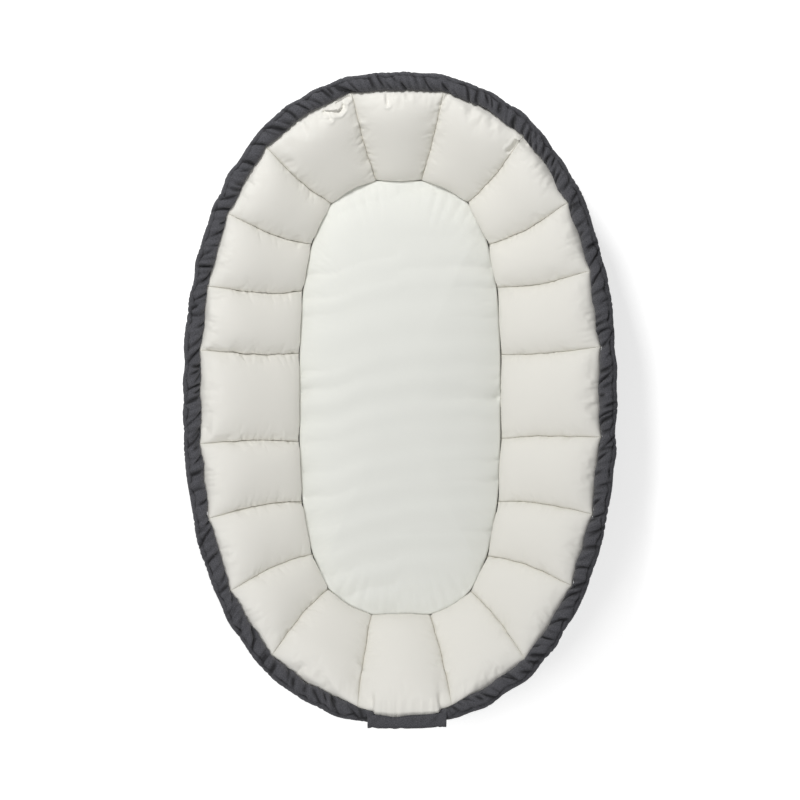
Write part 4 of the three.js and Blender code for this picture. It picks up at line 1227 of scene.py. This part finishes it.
def carve(piece, *tools):
    """Cuts tools out of a piece, softens the new edges and removes the tools."""
    for tool in tools:
        modify(piece, "BOOLEAN", object=tool, operation="DIFFERENCE", solver="EXACT")
        bpy.data.objects.remove(tool)
    modify(piece, "BEVEL", width=0.00025, segments=2, limit_method="ANGLE", angle_limit=math.radians(40))
    activate(piece)
    bpy.ops.object.shade_smooth_by_angle(angle=math.radians(35))


def block(low, high):
    """A box between two corners, as a cutting tool."""
    low, high = np.array(low), np.array(high)
    bpy.ops.object.select_all(action="DESELECT")
    bpy.ops.mesh.primitive_cube_add(size=1, location=(low + high) / 2, scale=high - low)
    tool = bpy.context.object
    bpy.ops.object.transform_apply(location=True, rotation=True, scale=True)
    return tool


def cord_window(cord, centre, low, high, spare=0.0):
    """A cutting tool for both tails of the cord, between two heights."""
    side, half = cord.pair + cord.radius + CORD_PLAY, cord.radius + CORD_PLAY
    return block((centre[0] - side, centre[1] - half, low),
                 (centre[0] + side + spare, centre[1] + half, high))


class MakeLock(bpy.types.Operator):
    """The cord lock's barrel and its sprung button"""
    bl_idname = "lounger.cord_lock"
    bl_label = "Cord lock"

    def execute(self, context):
        rim, cord = context.scene.lounger_rim, context.scene.lounger_cord
        centre = (rim.gap_middle, (LOCK_LOW.y + LOCK_HIGH.y) / 2, (LOCK_LOW.z + LOCK_HIGH.z) / 2)
        radius = (LOCK_HIGH.z - LOCK_LOW.z) / 2
        stem = 0.005
        first, final = LOCK_LOW.x - centre[0], LOCK_HIGH.x - centre[0]
        # Three grip grooves round the closed end
        profile = rounded(first, final, radius, 0.0012)
        grooves = [(first + 0.0022 + 0.0022 * i + d, radius - e) for i in range(3)
                   for d, e in ((0, 0), (0.0005, 0.0006), (0.0011, 0.0006), (0.0016, 0))]
        profile[5:5] = grooves
        body = turned("lock_barrel", profile, centre, "X")
        bore = turned("bore", [(first + 0.002, stem + 0.0003), (final + 0.004, stem + 0.0003)], centre, "X")
        reach = radius + 0.002
        carve(body, bore, cord_window(cord, centre, centre[2] - reach, centre[2] + reach))
        dress(body, moulded_plastic("lock_nylon"), "cord_lock", "plastic", "cord_lock_body")

        inner, outer = BUTTON_LOW.x - centre[0], BUTTON_HIGH.x - centre[0]
        head = outer - 0.0027
        profile = [(inner, stem - 0.0003), (inner + 0.0003, stem), (head, stem), (head, 0.0052),
                   (head + 0.0003, 0.0055), (outer - 0.0012, 0.0055), (outer - 0.0006, 0.0053),
                   (outer - 0.0002, 0.0047), (outer, 0.0036), (outer - 0.0003, 0.0028),
                   (outer - 0.0005, 0.0015)]
        button = turned("lock_button", profile, centre, "X")
        # The button's slot is longer by its press
        carve(button, cord_window(cord, centre, centre[2] - reach, centre[2] + reach, 0.0025))
        dress(button, moulded_plastic("button_nylon"), "lock_button", "plastic", "cord_lock_button")
        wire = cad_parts["cord_lock_spring"]
        wire.data.materials.clear()
        wire.data.materials.append(drawn_steel("spring_wire"))
        return {"FINISHED"}


class MakeClip(bpy.types.Operator):
    """The clip on the drawstring's ends"""
    bl_idname = "lounger.end_clip"
    bl_label = "End clip"

    def execute(self, context):
        rim, cord = context.scene.lounger_rim, context.scene.lounger_cord
        centre = (rim.gap_middle, (CLIP_LOW.y + CLIP_HIGH.y) / 2, 0)
        low, high = CLIP_LOW.z, CLIP_HIGH.z
        wide = (CLIP_HIGH.x - CLIP_LOW.x) / 2
        profile = [(low, wide - 0.0016), (low + 0.0003, wide - 0.0008), (low + 0.0010, wide - 0.0001),
                   (low + 0.0022, wide), (low + 0.0030, wide - 0.0001), (low + 0.0034, wide - 0.0006),
                   (low + 0.0040, wide - 0.0006), (low + 0.0044, wide - 0.0004),
                   (high - 0.0012, wide - 0.00095), (high - 0.0004, wide - 0.0012), (high, wide - 0.0018)]
        clip = turned("cord_clip", profile, centre, "Z")
        carve(clip, cord_window(cord, centre, high - 0.006, high + 0.002))
        dress(clip, moulded_plastic("clip_nylon"), "nest", "plastic", "cord_end_clip")
        return {"FINISHED"}


class MakeStage(bpy.types.Operator):
    """The floor, the lights and the camera"""
    bl_idname = "lounger.stage"
    bl_label = "Stage"

    def execute(self, context):
        scene = context.scene
        bpy.ops.object.select_all(action="DESELECT")
        # The photograph looks straight down; 1.096 m across at the rim's height fills its 800 pixels
        height, span, level = 3.2, 1.096, 0.108
        bpy.ops.object.camera_add(location=(0, -0.0027, height), rotation=(0, 0, 0))
        camera = context.object
        camera.name = "camera"
        camera.data.sensor_width = 36
        camera.data.lens = camera.data.sensor_width * (height - level) / span
        scene.camera = camera

        bpy.ops.mesh.primitive_plane_add(size=12, location=(0, 0, 0))
        floor = context.object
        floor.name = "floor"
        material = bpy.data.materials.new("white_paper")
        material.use_nodes = True
        tree = material.node_tree
        tree.nodes.clear()
        paper = add(tree, "ShaderNodeBsdfDiffuse", {"Color": (0.86, 0.86, 0.86, 1)})
        glow = add(tree, "ShaderNodeEmission", {"Color": (1, 1, 1, 1), "Strength": 0.62})
        lit = add(tree, "ShaderNodeAddShader", {0: paper.outputs["BSDF"], 1: glow.outputs["Emission"]})
        shown = add(tree, "ShaderNodeMixShader", {
            0: in_view(tree), 1: paper.outputs["BSDF"], 2: lit.outputs["Shader"]})
        add(tree, "ShaderNodeOutputMaterial", {"Surface": shown.outputs["Shader"]})
        floor.data.materials.append(material)

        lamps = (
            ("window", (-0.25, 0.9, 1.0), 0.25, 8.4),
            ("softbox", (-0.4, -0.45, 1.0), 0.4, 3.7),
            ("bounce", (0.5, -0.8, 1.0), 0.4, 1.4),
        )
        for name, place, width, power in lamps:
            bpy.ops.object.light_add(type="AREA", location=place)
            lamp = context.object
            lamp.name = name
            lamp.data.size = width
            lamp.data.energy = power
            lamp.visible_camera = False
            lamp.rotation_euler = (Vector((0, 0, 0.05)) - lamp.location).to_track_quat("-Z", "Y").to_euler()

        world = bpy.data.worlds.new("studio")
        world.use_nodes = True
        tree = world.node_tree
        tree.nodes.clear()
        soft = add(tree, "ShaderNodeBackground", {"Color": (1, 1, 1, 1), "Strength": 0.20})
        white = add(tree, "ShaderNodeBackground", {"Color": (1, 1, 1, 1), "Strength": 1.0})
        shown = add(tree, "ShaderNodeMixShader", {
            0: in_view(tree), 1: soft.outputs["Background"], 2: white.outputs["Background"]})
        add(tree, "ShaderNodeOutputWorld", {"Surface": shown.outputs["Shader"]})
        scene.world = world
        scene.view_settings.view_transform = "Standard"
        return {"FINISHED"}


class LoungerPanel(bpy.types.Panel):
    """Lists the lounger's pieces and sizes"""
    bl_idname = "VIEW3D_PT_lounger"
    bl_label = "Infant lounger"
    bl_space_type = "VIEW_3D"
    bl_region_type = "UI"
    bl_category = "Lounger"

    def draw(self, context):
        for maker in MAKERS:
            self.layout.operator(maker.bl_idname)
        for name in GROUPS:
            group = getattr(context.scene, name)
            box = self.layout.box()
            for key in group.bl_rna.properties.keys():
                if key not in ("rna_type", "name"):
                    box.prop(group, key)


GROUPS = {
    "lounger_wall": LoungerWall,
    "lounger_mattress": LoungerMattress,
    "lounger_rim": LoungerRim,
    "lounger_cord": LoungerCord,
    "lounger_colours": LoungerColours,
}
MAKERS = (MakeStage, MakeCord, MakePads, MakeCover, MakeFloor, MakeMattress, MakeRim, MakeFootBinding,
          MakeFlap, MakeLock, MakeClip)


def register():
    for kind in (*GROUPS.values(), *MAKERS, LoungerPanel):
        bpy.utils.register_class(kind)
    for name, kind in GROUPS.items():
        setattr(bpy.types.Scene, name, PointerProperty(type=kind))


def unregister():
    for name in GROUPS:
        delattr(bpy.types.Scene, name)
    for kind in reversed((*GROUPS.values(), *MAKERS, LoungerPanel)):
        bpy.utils.unregister_class(kind)


def main():
    register()
    for maker in MAKERS:
        group, name = maker.bl_idname.split(".")
        getattr(getattr(bpy.ops, group), name)()


if __name__ == "__main__":
    main()
